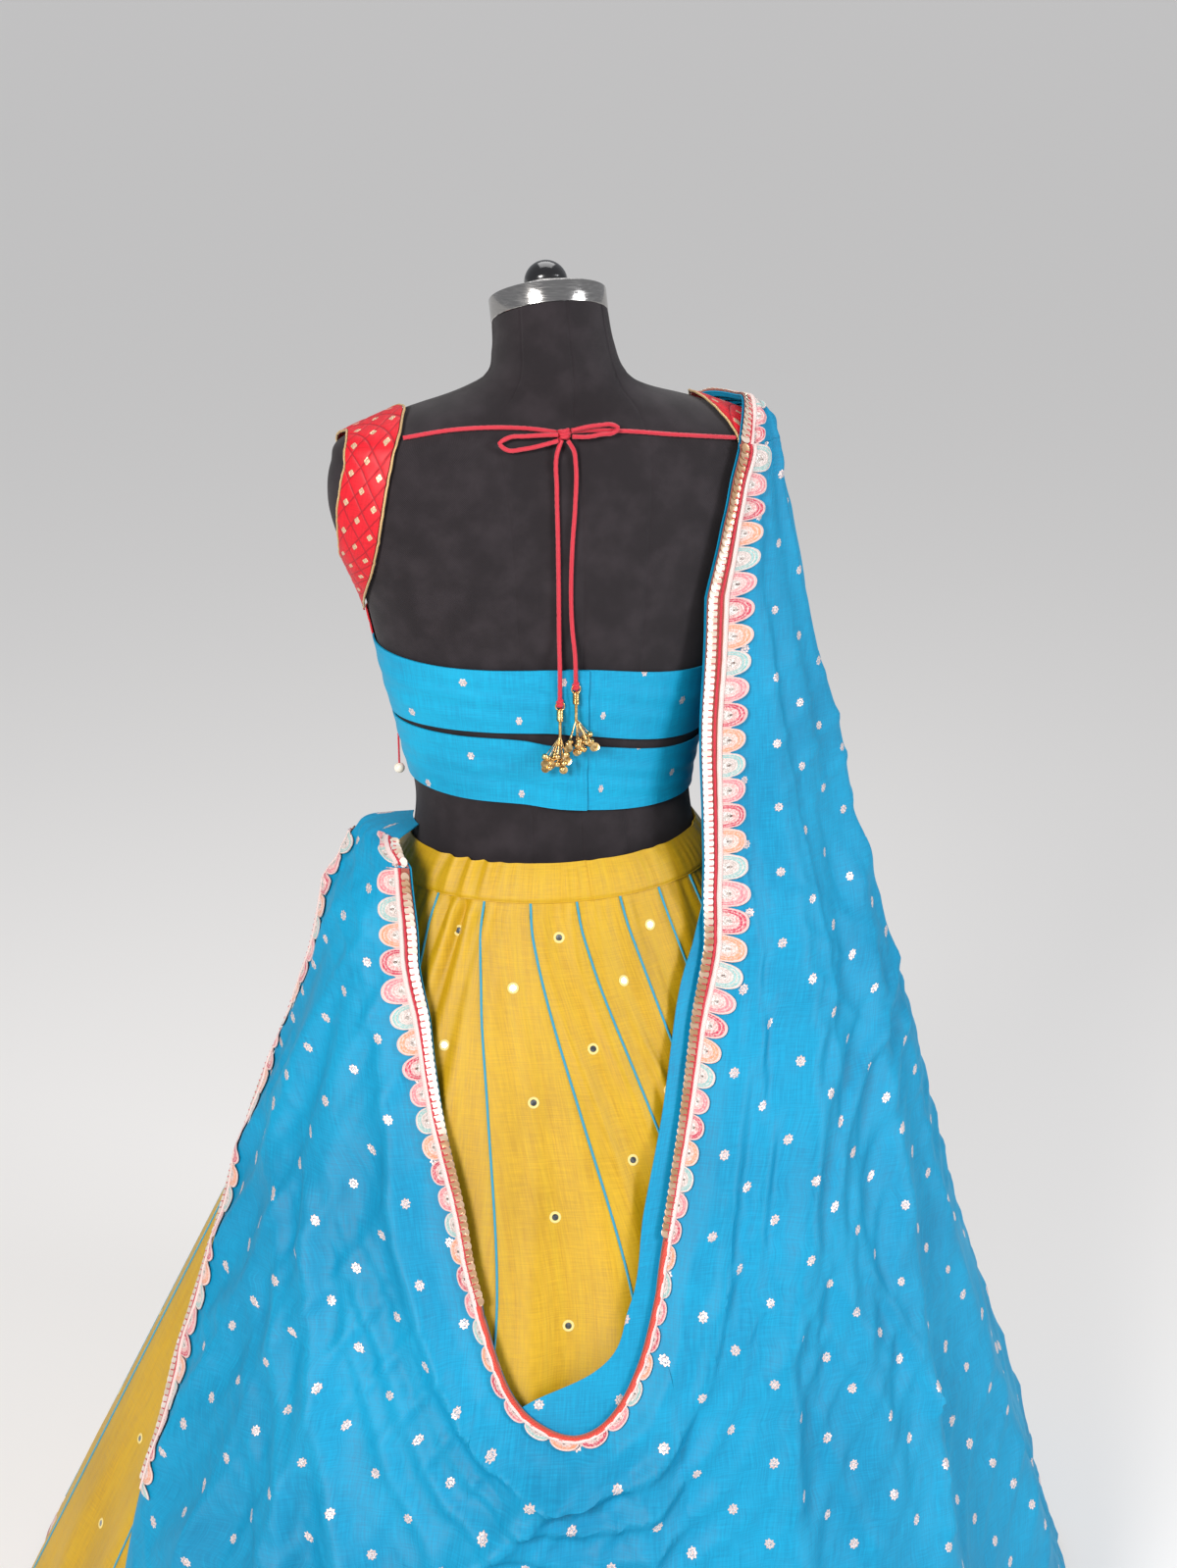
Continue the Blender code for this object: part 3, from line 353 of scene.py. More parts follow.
# %% Lines of the folds
FOLDS = (
    (((4.3, 0.557), (-6.9, 0.484), (-17.7, 0.436), (-30.0, 0.360), (-44.0, 0.260)), 0.018, 0.022),
    (((-24.0, 0.490), (-13.0, 0.445), (-3.0, 0.490)), 0.012, 0.018),
    (((-82.0, 0.900), (-80.7, 0.684), (-61.6, 0.547), (-52.7, 0.429), (-45.0, 0.150)), 0.011, 0.022),
    (((-74.0, 0.900), (-61.8, 0.632), (-47.4, 0.453), (-38.0, 0.300)), 0.015, 0.022),
    (((-66.0, 0.880), (-51.4, 0.723), (-33.8, 0.535), (-20.0, 0.440)), 0.012, 0.018),
    (((66.0, 0.943), (52.3, 0.840), (32.2, 0.669), (19.2, 0.520), (14.6, 0.407), (10.0, 0.100)),
     0.016, 0.024),
    (((80.0, 0.917), (60.0, 0.756), (46.5, 0.546), (34.9, 0.328), (28.0, 0.050)), 0.018, 0.026),
    (((76.0, 0.800), (66.0, 0.560), (56.0, 0.300), (50.0, 0.050)), 0.011, 0.026),
    (((49.8, 0.911), (20.9, 0.721), (3.2, 0.577), (-4.0, 0.420), (-8.0, 0.150)), 0.013, 0.020))
CREASES = (
    (((4.3, 0.557), (-0.7, 0.530), (-6.9, 0.484), (-13.4, 0.454), (-25.8, 0.386), (-33.0, 0.330)),
     0.0075, 0.008),
    (((-80.7, 0.684), (-68.4, 0.620), (-61.6, 0.547), (-52.7, 0.429), (-48.0, 0.330)), 0.004, 0.008),
    (((-69.6, 0.705), (-61.8, 0.632), (-54.9, 0.560), (-47.4, 0.453), (-40.8, 0.360)), 0.005, 0.009),
    (((-61.0, 0.675), (-47.4, 0.572), (-39.7, 0.511), (-30.0, 0.425), (-18.0, 0.395)), 0.005, 0.008),
    (((-51.4, 0.723), (-43.7, 0.629), (-33.8, 0.535), (-26.0, 0.470)), 0.004, 0.007),
    (((-57.0, 0.640), (-44.0, 0.500), (-30.0, 0.375), (-14.0, 0.335)), 0.004, 0.008),
    (((-72.0, 0.600), (-58.0, 0.420), (-40.0, 0.250)), 0.004, 0.009),
    (((65.5, 0.943), (52.3, 0.840), (39.6, 0.744), (32.2, 0.669), (19.2, 0.520), (14.6, 0.407)),
     0.006, 0.009),
    (((80.4, 0.917), (66.2, 0.818), (60.0, 0.756), (52.2, 0.651), (46.5, 0.546), (34.9, 0.328)),
     0.006, 0.009),
    (((53.2, 0.746), (40.5, 0.632), (37.9, 0.560), (40.1, 0.517), (40.4, 0.427)), 0.005, 0.008),
    (((49.8, 0.911), (37.0, 0.832), (20.9, 0.721), (11.8, 0.649), (3.2, 0.577)), 0.005, 0.008),
    (((47.0, 0.800), (30.0, 0.640), (22.0, 0.480), (24.0, 0.340)), 0.004, 0.008),
    (((86.0, 1.180), (82.0, 0.950), (74.0, 0.700), (64.0, 0.380), (58.0, 0.080)), 0.005, 0.011),
    (((70.0, 1.200), (62.0, 1.000), (60.0, 0.900)), 0.004, 0.008),
    (((78.0, 1.250), (73.0, 1.050), (70.0, 0.900), (64.0, 0.780)), 0.004, 0.009),
    (((92.0, 1.150), (92.0, 0.900), (90.0, 0.600), (86.0, 0.200)), 0.005, 0.012))
# Seams of the kalis that the back shows: angle at the waistband
BACK_SEAMS = (-62.0, -43.4, -25.3, -6.5, 12.5, 31.0)
print("folds:", len(FOLDS), "creases:", len(CREASES))

# %% [markdown]
# ## Surfaces that the cloth follows
# The form is a stack of ovals. The skirt is a cone that is flatter front to back at the waist.
# The scarf hangs a little outside both and bridges the hollow between them.

# %% Radius of the form, the skirt and the scarf
def through(at, places, values):
    """Value at a place on the smooth curve through (place, value) pairs, for rows of values too."""
    places = np.asarray(places, float)
    values = np.asarray(values, float)
    slopes = np.gradient(values, places, axis=0)
    at = np.clip(at, places[0], places[-1])
    i = np.clip(np.searchsorted(places, at) - 1, 0, len(places) - 2)
    step = places[i + 1] - places[i]
    t = (at - places[i]) / step
    if values.ndim > 1:
        step, t = (x.reshape(x.shape + (1,) * (values.ndim - 1)) for x in (step, t))
    start = (2 * t**3 - 3 * t**2 + 1) * values[i] + (t**3 - 2 * t**2 + t) * step * slopes[i]
    end = (3 * t**2 - 2 * t**3) * values[i + 1] + (t**3 - t**2) * step * slopes[i + 1]
    return start + end


def column(table, at, which):
    return through(at, table[:, 0], table[:, which])


def oval(theta, half_width, back, front):
    turn = np.radians(theta)
    depth = np.where(np.cos(turn) > 0, back, front)
    return 1 / np.sqrt((np.sin(turn) / half_width) ** 2 + (np.cos(turn) / depth) ** 2)


def body_radius(theta, z):
    """Radius of the form, with the fullness that the blouse is cut for."""
    plain = oval(theta, column(BODY, z, 1), column(BODY, z, 2), column(BODY, z, 3))
    aside = np.abs(np.abs(theta) - 152.0)
    aside = np.minimum(aside, np.abs(360 - np.abs(theta) - 152.0))
    return plain + 0.016 * np.exp(-(aside / 17) ** 2) * np.exp(-(((z - 1.172) / 0.045) ** 2))


def place(theta, radius, z):
    turn = np.radians(theta)
    return np.stack(np.broadcast_arrays(radius * np.sin(turn), -radius * np.cos(turn), z), axis=-1)


def lifted(surface, theta, z, lift, turn=0.4, rise=0.001):
    """Point at a lift above a surface(theta, z), along its normal."""
    theta, z, lift = np.broadcast_arrays(np.asarray(theta, float), z, lift)
    around = surface(theta + turn, z) - surface(theta - turn, z)
    upward = surface(theta, z + rise) - surface(theta, z - rise)
    normal = np.cross(around, upward)
    normal /= np.linalg.norm(normal, axis=-1, keepdims=True)
    return surface(theta, z) + normal * lift[..., None]


def on_body(theta, z, lift):
    return lifted(lambda angle, height: place(angle, body_radius(angle, height), height), theta, z, lift)


def skirt_radius(theta, z):
    wide = WAIST_RADIUS + (WAIST_Z - z) * (HEM_RADIUS - WAIST_RADIUS) / WAIST_Z
    up = np.clip(z / 0.9, 0, 1)
    deep = wide - FLATTER_WAIST * up
    aside = np.where(np.sin(np.radians(theta)) > 0, -RIGHT_NARROWER, LEFT_WIDER)
    return oval(theta, wide + aside * (1 - up), deep, deep)


def hang_radius(theta, z):
    """Smooth surface that the scarf hangs on."""
    low_z = np.where(z < 0.80, z, np.where(z > 0.92, 0.86, z - (z - 0.80) ** 2 / 0.24))
    low = skirt_radius(theta, low_z) + 0.010 + 0.016 * (1 - np.clip(z / 0.9, 0, 1))
    high = body_radius(theta, np.maximum(z, 1.19)) + 0.011
    share = np.clip((z - 0.86) / 0.33, 0, 1)
    return low * (1 - share) + high * share


def drape_radius(theta, z):
    inner = column(FALL, z, 1)
    outer = column(FALL, z, 2)
    side = np.maximum(column(FALL, z, 3) - hang_radius(80.0, z), 0)
    across = np.clip((theta - inner) / (outer - inner), 0, 1)
    right = side * through(across, ACROSS_FALL[:, 0], ACROSS_FALL[:, 1])
    left = column(LEFT, z, 3) * np.clip((-50 - theta) / 40, 0, 1)
    return hang_radius(theta, z) + right + left


print("radius of the hem:", round(float(skirt_radius(0, HEM_Z)), 3))

# %% [markdown]
# Folds rise from the hanging surface. Besides the listed ridges there are families of them: fine
# creases on the slant, long hanging folds in the fall, folds that run beside the U as rings
# do, and slanting ones on the left. Each is a sharp ridge with a wide hollow, as pressed crepe
# has. All fade out beside the laced edge, which the stiff lace keeps flat.

# %% How far the folds rise
FLAT_BESIDE_EDGE = 0.050


def apart(theta, z, points):
    """Distance on the hanging surface from each place to a line of (angle, height) points."""
    radius = hang_radius(theta, z)
    nearest = np.full(np.broadcast(theta, z).shape, 9.0)
    for (theta_a, z_a), (theta_b, z_b) in zip(points, points[1:]):
        along = np.radians(theta_b - theta_a) * radius
        down = (z_b - z_a) * SLANT
        east = np.radians(theta - theta_a) * radius
        north = (z - z_a) * SLANT
        share = np.clip((east * along + north * down) / (along**2 + down**2), 0, 1)
        nearest = np.minimum(nearest, np.hypot(east - share * along, north - share * down))
    return nearest


def u_edge(steps):
    """The laced edge in three runs of (angle, height) points: down, across and up to the shoulder."""
    down = np.linspace(WAIST_Z, U_BOTTOM[0, 1], steps)
    across = np.linspace(U_LEFT, U_RIGHT, steps)
    up = np.linspace(U_SIDE, FALL_TOP + 0.004, steps)
    return (np.stack([column(LEFT, down, 2), down], axis=-1),
            np.stack([across, column(U_BOTTOM, across, 1)], axis=-1),
            np.stack([np.maximum(column(FALL, up, 1), U_RIGHT), up], axis=-1))


def crisp(turn, width=0.17):
    """Sharp ridges with wide hollows between them, one for every whole turn."""
    return np.exp(-(((turn % 1 - 0.5) / width) ** 2))


def facets(turn):
    """Flat-sided folds, one for every whole turn."""
    return (1 - np.abs(2 * (turn % 1) - 1)) ** 1.3


def listed_folds(theta, z):
    """The folds and creases of the two lists; each starts softly at its upper end."""
    total = np.zeros(np.broadcast(theta, z).shape)
    for points, height, half_width in FOLDS + CREASES:
        top, foot = max(up for _, up in points), min(up for _, up in points)
        fade = np.clip(0.2 * (top - foot), 0.02, 0.12)
        started = np.clip((top + half_width - z) / fade, 0, 1)
        total += height * started * np.exp(-((apart(theta, z, points) / half_width) ** 2))
    return total


def slant_creases(theta, z):
    """Three families of fine creases, by wave length, lean and height; calmer near the shoulder."""
    east = np.radians(theta) * hang_radius(60.0, z)
    calm = np.clip((1.25 - z) / 0.30, 0.4, 1)
    total = 0.0
    for length, lean, height in ((0.052, -0.85, 0.0036), (0.083, -0.40, 0.0042), (0.037, 0.70, 0.0018)):
        turn = (east + lean * z) / length + 0.3 * np.sin(z * 13 + length * 900)
        swell = 0.5 + 0.5 * np.sin(z * 21 + east * 17 + length * 500)
        total = total + height * calm * crisp(turn, 0.14) * swell
    return total


def hanging_folds(theta, z):
    """Long folds that hang in the fall: narrow ones on broad ones."""
    inner = np.maximum(column(FALL, z, 1), U_RIGHT)
    share = (theta - inner) / (column(FALL, z, 2) - inner)
    turn = 8.0 * share + 0.30 * np.sin(z * 7.0) + 0.5 * np.sin(share * 9.0)
    narrow = 0.0060 * (0.60 + 0.40 * np.sin(share * 23 + z * 5.0)) * crisp(turn)
    broad = 0.0170 * facets(4.2 * share + 0.25 + 0.12 * np.sin(z * 5.0))
    return (narrow + broad) * np.clip(share / 0.1, 0, 1) * np.clip((1.20 - z) / 0.35, 0.30, 1)


def folds_beside_u(theta, z, edge):
    """Folds that run side by side with the U; edge is the distance from it."""
    beside = np.clip((theta + 45) / 30, 0, 1) * np.clip((0.95 - z) / 0.2, 0, 1) * np.exp(-edge / 0.17)
    turn = edge / 0.033 + 0.30 * np.sin(z * 9 + theta * 0.05)
    return 0.0115 * beside * (0.70 + 0.30 * np.sin(z * 13 + edge * 30)) * crisp(turn, 0.20)


def left_folds(theta, z):
    """Left of the U, slanting folds above and upright ones below."""
    far = np.clip((-35 - theta) / 15, 0, 1)
    turn = (np.radians(theta) * 0.40 - 0.55 * z) / 0.095 + 0.22 * np.sin(z * 7.0)
    slanting = 0.0065 * far * (0.60 + 0.40 * np.sin(z * 7 + theta * 0.1)) * crisp(turn, 0.18)
    low = np.clip((0.80 - z) / 0.35, 0, 1)
    return slanting + 0.0110 * far * low * facets((theta + 3.0 * np.sin(z * 6.0)) / 11.0)


def fold_lift(theta, z):
    """How far all the folds lift the scarf; they fade out beside the laced edge."""
    edge = apart(theta, z, np.concatenate(u_edge(9)))
    total = (listed_folds(theta, z) + slant_creases(theta, z) + hanging_folds(theta, z)
             + folds_beside_u(theta, z, edge) + left_folds(theta, z))
    return total * np.clip(edge / FLAT_BESIDE_EDGE, 0, 1) ** 1.5


def drape_surface(theta, z):
    return place(theta, drape_radius(theta, z) + fold_lift(theta, z), z)


def on_drape(theta, z, lift):
    return lifted(drape_surface, theta, z, lift, 0.5, 0.003)


print("rise of the ridge under the U:", round(float(fold_lift(-13.4, 0.454)), 4))

# %% [markdown]
# ## Three helpers for soft pieces
# A sheet starts as Blender's grid primitive with the right number of squares. Each corner is then
# moved to its place on the cloth, and its UV becomes its place on the flat cut in metres, so a
# weave keeps its scale. Solidify gives the sheet its wall. A cord is the same grid rolled into
# a tube. Small repeated shapes are modelled once and copied to many places in one mesh.

# %% Sheets, cords and copies
def add(primitive, **settings):
    """Adds a primitive with nothing else selected."""
    bpy.ops.object.select_all(action="DESELECT")
    primitive(**settings)
    return bpy.context.object


def only(made):
    """Selects one piece and makes it the active one."""
    bpy.ops.object.select_all(action="DESELECT")
    made.select_set(True)
    bpy.context.view_layer.objects.active = made


def settle(made):
    """Puts a piece's place, turn and scale into its mesh."""
    only(made)
    bpy.ops.object.transform_apply(location=True, rotation=True, scale=True)
    return made


def add_grid(name, rows, cols):
    made = add(bpy.ops.mesh.primitive_grid_add, x_subdivisions=cols - 1, y_subdivisions=rows - 1, size=1)
    made.name = made.data.name = name
    return made


def move_grid(made, points, uv):
    """Puts the corners of a grid primitive at rows and columns of points, with their UVs."""
    rows, cols = points.shape[:2]
    mesh = made.data
    flat = np.empty(len(mesh.vertices) * 3, np.float32)
    mesh.vertices.foreach_get("co", flat)
    flat = flat.reshape(-1, 3)
    i = np.rint((flat[:, 1] + 0.5) * (rows - 1)).astype(int)
    j = np.rint((flat[:, 0] + 0.5) * (cols - 1)).astype(int)
    mesh.vertices.foreach_set("co", points[i, j].astype(np.float32).ravel())
    corner = np.empty(len(mesh.loops), np.int32)
    mesh.loops.foreach_get("vertex_index", corner)
    mesh.uv_layers[0].data.foreach_set("uv", uv[i, j][corner].astype(np.float32).ravel())
    mesh.update()


def dress(made, finish, replaced=()):
    """Gives a finished piece its material, hangs it on the root body and hides the frame's parts that it
    replaces.
    """
    made.data.materials.clear()
    made.data.materials.append(finish.material)
    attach(made, "root")
    if replaced:
        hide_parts(*replaced)
    return made


def edit(made, action, **settings):
    """Runs one edit-mode operator on the whole piece."""
    only(made)
    bpy.ops.object.mode_set(mode="EDIT")
    bpy.ops.mesh.select_all(action="SELECT")
    action(**settings)
    bpy.ops.object.mode_set(mode="OBJECT")


def apply_all(made):
    only(made)
    for modifier in list(made.modifiers):
        bpy.ops.object.modifier_apply(modifier=modifier.name)


def smooth(made, degrees=45):
    only(made)
    bpy.ops.object.shade_smooth_by_angle(angle=math.radians(degrees))
    return made


def cloth(name, points, uv, thickness, closed=False):
    """Sheet of cloth from rows and columns of points, seen from outside."""
    made = add_grid(name, *points.shape[:2])
    move_grid(made, points, uv)
    if closed:
        edit(made, bpy.ops.mesh.remove_doubles, threshold=0.00002)
    wall = made.modifiers.new("wall", "SOLIDIFY")
    wall.thickness = thickness
    wall.offset = 1.0
    apply_all(made)
    return smooth(made)


def evenly(points, spacing):
    """Evenly spaced points on a smooth curve through given points."""
    points = np.asarray(points, float)
    along = lengths(points)
    count = max(3, int(round(along[-1] / spacing)) + 1)
    return through(np.linspace(0, along[-1], count), along, points)


def lengths(points):
    steps = np.linalg.norm(np.diff(points, axis=0), axis=1)
    return np.concatenate([[0], np.cumsum(steps)])


def cord(name, points, radius, sides=10, strands=0, lay=0.010, flat=1.0, up=None):
    """Tube along points. Strands twist round it once in every lay; flat squashes it toward up."""
    tangent = np.gradient(points, axis=0)
    tangent /= np.linalg.norm(tangent, axis=1, keepdims=True)
    side = np.zeros_like(points)
    guide = np.array([0.13, 0.21, 0.97]) if up is None else None
    for i, t in enumerate(tangent):
        hint = guide if up is None else up[i]
        side[i] = hint - t * (hint @ t)
        side[i] /= np.linalg.norm(side[i])
        if up is None:
            guide = side[i]
    other = np.cross(tangent, side)
    along = lengths(points)
    turn = np.linspace(0, 2 * math.pi, sides + 1)
    bulge = np.ones((len(points), sides + 1))
    if strands:
        twist = along[:, None] * 2 * math.pi / lay
        bulge = 0.84 + 0.16 * np.abs(np.cos((turn[None, :] * strands + twist * strands) / 2)) ** 0.7
        bulge[:, -1] = bulge[:, 0]
    reach = radius * bulge
    ring = (points[:, None] + (reach * np.cos(turn) * flat)[..., None] * side[:, None]
            + (reach * np.sin(turn))[..., None] * other[:, None])
    ends = [np.repeat(points[k][None, None], sides + 1, axis=1) for k in (0, -1)]
    ring = np.concatenate([ends[0], ring, ends[1]])
    along = np.concatenate([[0], along, along[-1:]])
    uv = np.stack(np.broadcast_arrays(turn[None, :] * radius, along[:, None]), axis=-1)
    made = add_grid(name, len(ring), sides + 1)
    move_grid(made, ring, uv)
    edit(made, bpy.ops.mesh.remove_doubles, threshold=0.000004)
    return smooth(made, 60)


def copies(name, model, spots, across, along, uvs=None):
    """Copies of a model at spots, its X along across, its Y along along; the model is deleted."""
    mesh = model.data
    shape = np.array([v.co for v in mesh.vertices])
    faces = [list(p.vertices) for p in mesh.polygons]
    across = across / np.linalg.norm(across, axis=1, keepdims=True)
    along = along - across * (along * across).sum(axis=1, keepdims=True)
    along /= np.linalg.norm(along, axis=1, keepdims=True)
    frames = np.stack([across, along, np.cross(across, along)], axis=1)
    points = np.einsum("vk,nkj->nvj", shape, frames) + spots[:, None]
    made = bpy.data.meshes.new(name)
    every = [[v + n * len(shape) for v in face] for n in range(len(spots)) for face in faces]
    made.from_pydata(points.reshape(-1, 3).tolist(), [], every)
    if uvs is not None:
        layer = made.uv_layers.new(name="UVMap")
        corner = np.empty(len(made.loops), np.int32)
        made.loops.foreach_get("vertex_index", corner)
        layer.data.foreach_set("uv", uvs[corner // len(shape)].astype(np.float32).ravel())
    bpy.data.objects.remove(model)
    thing = bpy.data.objects.new(name, made)
    bpy.context.scene.collection.objects.link(thing)
    return smooth(thing)


def normals_of(points):
    normal = np.cross(np.gradient(points, axis=1), np.gradient(points, axis=0))
    return normal / np.linalg.norm(normal, axis=-1, keepdims=True)


print("helpers ready")

# %% [markdown]
# ## Finishes of the form
# The torso is covered in a fine black cloth, the neck is closed by a polished metal cap, and a
# glossy knob is screwed on top. Black cloth is never quite black: its threads catch some light.

# %% Black cloth, chrome, gloss and dark metal
def black_cloth():
    made = Finish("form_black_cloth", Roughness=0.9, Specular_IOR_Level=0.22,
                  Sheen_Weight=0.08, Sheen_Roughness=0.5)
    across, along = made.cut()
    threads = made.weave(across, along, 0.0008)
    dust = made.noise(made.place(), 35.0, 4.0)
    shade = threads * 0.5 + dust.ramp(0.35, 0.75) * 0.5
    made.paint(Base_Color=made.mix(shade, (0.0110, 0.0085, 0.0100), (0.034, 0.0270, 0.0310)))
    made.relief(threads, 0.00025, 0.7)
    return made


def chrome():
    made = Finish("cap_chrome", Metallic=1.0)
    # Stretched noise bands the chrome darker and lighter: partly scuffs, partly painted dark and light
    # reflection bands.
    scuffs_and_painted_reflections = made.stretched(made.place(), (1.0, 1.0, 12.0), 90.0, 3.0)
    made.paint(Base_Color=made.mix(scuffs_and_painted_reflections, (0.34, 0.33, 0.32), (0.62, 0.60, 0.58)),
               Roughness=scuffs_and_painted_reflections.ramp(0.3, 0.8, 0.10, 0.26))
    return made


def dark_gloss(name, colour, low, high, coat):
    made = Finish(name, Base_Color=colour, Coat_Weight=coat, Coat_Roughness=0.12)
    smears = made.noise(made.place(), 60.0, 3.0)
    made.paint(Roughness=smears.ramp(0.3, 0.7, low, high))
    made.relief(smears, 0.0001)
    return made


FORM_CLOTH = black_cloth()
CHROME = chrome()
KNOB_GLOSS = dark_gloss("knob_black_gloss", (0.006, 0.006, 0.007), 0.16, 0.30, 0.8)
STAND_METAL = dark_gloss("stand_black_metal", (0.014, 0.014, 0.015), 0.38, 0.55, 0.2)
print("finishes of the form:", FORM_CLOTH.material.name, CHROME.material.name)

# %% [markdown]
# ## The torso
# A form's cover is sewn from panels, so seams run down the middle of the back, down the
# shoulder blades and round the foot of the neck. Columns of the grid are drawn in
# toward each seam, so that a groove a millimetre wide is real geometry.

# %% Covered torso with its seams
TORSO_BOTTOM = 0.720
NECK_TOP = 1.445
NECK_TILT = 22.0
TILT_START = 1.385
GROOVE = 0.0008
UV_RADIUS = 0.17


def seam_lines(z):
    """Angles of the upright seams at a height."""
    blade = through(z, (0.72, 0.98, 1.15, 1.32, 1.375), (31.0, 27.0, 31.0, 38.0, 46.0))
    return (0.0 * z, blade, -blade, 0.0 * z + 92.0, 0.0 * z - 92.0, 0.0 * z + 152.0, 0.0 * z - 152.0)


def torso_cover():
    z = np.linspace(TORSO_BOTTOM, NECK_TOP, 230)[:, None]
    theta = np.linspace(-180.0, 180.0, 321)[None, :] + 0 * z
    for seam in seam_lines(z):
        theta = theta + (seam - theta) * 0.75 * np.exp(-(((theta - seam) / 2.6) ** 2))
    radius = body_radius(theta, z)
    fold = np.zeros_like(radius)
    for seam in seam_lines(z):
        fold -= GROOVE * np.exp(-((np.radians(theta - seam) * radius / 0.0011) ** 2))
    neck_seam = 1.3935 - 0.0045 * np.exp(-((theta / 7.0) ** 2))
    fold -= 0.0009 * np.exp(-(((z - neck_seam) / 0.0018) ** 2))
    points = place(theta, radius + fold, z)
    tilted = np.clip((z - TILT_START) / (NECK_TOP - TILT_START), 0, 1)
    points[..., 2] -= points[..., 1] * (math.tan(math.radians(NECK_TILT)) * tilted)
    points[..., 1] += column(BODY, z, 4)
    uv = np.stack([np.radians(theta) * UV_RADIUS, z + 0 * theta], axis=-1)
    made = add_grid("torso_cover", *points.shape[:2])
    move_grid(made, points, uv)
    edit(made, bpy.ops.mesh.remove_doubles, threshold=0.00002)
    edit(made, bpy.ops.mesh.fill_holes, sides=0)
    edit(made, bpy.ops.mesh.normals_make_consistent, inside=False)
    return dress(smooth(made, 50), FORM_CLOTH, ["form_torso"])


print("torso:", len(torso_cover().data.polygons), "faces")

# %% [markdown]
# ## Cap and knob
# The cap is a low drum with a smaller step on it. It begins as a cylinder whose top face is
# inset and extruded. The knob is a sphere cut flat where it stands on the step.

# %% Neck cap and knob
CAP_RADIUS = 0.055
CAP_HEIGHT = 0.0270
CAP_STEP = 0.0056
CAP_RIM = 0.019
KNOB_RADIUS = 0.0205
KNOB_SUNK = 0.0052


def pick(made, test):
    """Leaves the piece in edit mode with the faces selected that pass a test of centre and normal."""
    bpy.ops.object.mode_set(mode="EDIT")
    bpy.ops.mesh.select_mode(type="FACE")
    bpy.ops.mesh.select_all(action="DESELECT")
    bpy.ops.object.mode_set(mode="OBJECT")
    for face in made.data.polygons:
        face.select = bool(test(face.center, face.normal))
    bpy.ops.object.mode_set(mode="EDIT")


def onto_neck(made, height):
    """Moves a piece made upright at the origin onto the tilted top of the neck."""
    lean = math.radians(NECK_TILT)
    axis = np.array([0, math.sin(lean), math.cos(lean)])
    made.rotation_euler = (-lean, 0, 0)
    made.location = np.array([0, BODY[-1, 4], BODY[-1, 0]]) + axis * height
    return settle(made)


def round_edges(made, width, segments=3, degrees=40):
    bevel = made.modifiers.new("rounded", "BEVEL")
    bevel.width = width
    bevel.segments = segments
    bevel.limit_method = "ANGLE"
    bevel.angle_limit = math.radians(degrees)
    apply_all(made)


def neck_cap():
    drum = CAP_HEIGHT - CAP_STEP
    made = settle(add(bpy.ops.mesh.primitive_cylinder_add, vertices=128, radius=CAP_RADIUS, depth=drum,
                      location=(0, 0, drum / 2)))
    made.name = "neck_cap"
    pick(made, lambda centre, normal: normal.z > 0.9)
    bpy.ops.mesh.inset(thickness=CAP_RIM)
    bpy.ops.mesh.extrude_region_move(TRANSFORM_OT_translate={"value": (0, 0, CAP_HEIGHT - drum)})
    bpy.ops.object.mode_set(mode="OBJECT")
    round_edges(made, 0.0014)
    return dress(smooth(onto_neck(made, SEAM_GAP), 30), CHROME, ["form_neck_cap"])


def knob():
    made = settle(add(bpy.ops.mesh.primitive_uv_sphere_add, segments=72, ring_count=48,
                      radius=KNOB_RADIUS, location=(0, 0, KNOB_SUNK)))
    made.name = "knob"
    for corner in made.data.vertices:
        dip = 0.018 * math.exp(-(((corner.co.z - KNOB_SUNK) / 0.0007) ** 2))
        corner.co.x *= 1 - dip
        corner.co.y *= 1 - dip
    edit(made, bpy.ops.mesh.bisect, plane_co=(0, 0, 0.0003), plane_no=(0, 0, 1),
         clear_inner=True, use_fill=True)
    return dress(smooth(onto_neck(made, CAP_HEIGHT + 2 * SEAM_GAP), 50),
                 KNOB_GLOSS, ["form_knob"])


neck_cap()
print("knob:", len(knob().data.polygons), "faces")

# %% [markdown]
# The pole and the round base keep the frame's own shapes. Only their material is changed.

# %% Pole and base get their metal
for name in ("form_pole", "form_base"):
    for thing in bpy.data.objects:
        if thing.type == "MESH" and thing.name.split(".")[0] == name:
            for held in thing.material_slots:
                held.material = STAND_METAL.material

# %% [markdown]
# ## Silk finishes
# The blouse is a red brocade with small gold flowers woven in. The bands and the scarf are
# turquoise, the skirt mustard. Silk has long slubs along its threads and a soft sheen, and
# embroidery stands up from it. A motif repeats in a half drop: each column of motifs sits
# half a step lower than its neighbour.

# %% Small flowers for embroidery
def flower(x, y, radius, petals, thread):
    """Ring of petals with a middle dot: 1 on the thread, 0 on the cloth."""
    away = (x * x + y * y) ** 0.5
    turn = y.math("ARCTAN2", x)
    ring = away - ((turn * petals).math("COSINE") * 0.12 + 0.88) * radius
    gap = (away - radius * 0.42).size().ramp(0.0, thread * 0.5)
    return ring.ramp(-thread * 0.3, thread * 0.3, 1.0, 0.0) * (gap * 0.6 + 0.4)


def silk(name, dark, light, thread, motif, constants):
    """Silk with slubs and a sheen; motif is (pitch across, pitch along, radius, petals, thread)."""
    made = Finish(name, **constants)
    across, along = made.cut()
    flat = made.join(across, along)
    slub = made.stretched(flat, (1.0, 0.05, 1.0), 700.0, 3.0)
    weft = made.stretched(flat, (0.05, 1.0, 1.0), 900.0, 2.0)
    cloud = made.noise(made.place(), 7.0, 3.0)
    threads = made.weave(across, along, thread)
    shade = slub * 0.35 + weft * 0.30 + cloud * 0.35
    ground = made.mix(shade.ramp(0.30, 0.72), dark, light)
    mask = flower(*made.half_drop(across, along, *motif[:2]), *motif[2:]) if motif else None
    return made, ground, mask, threads, slub * 0.5 + weft * 0.5


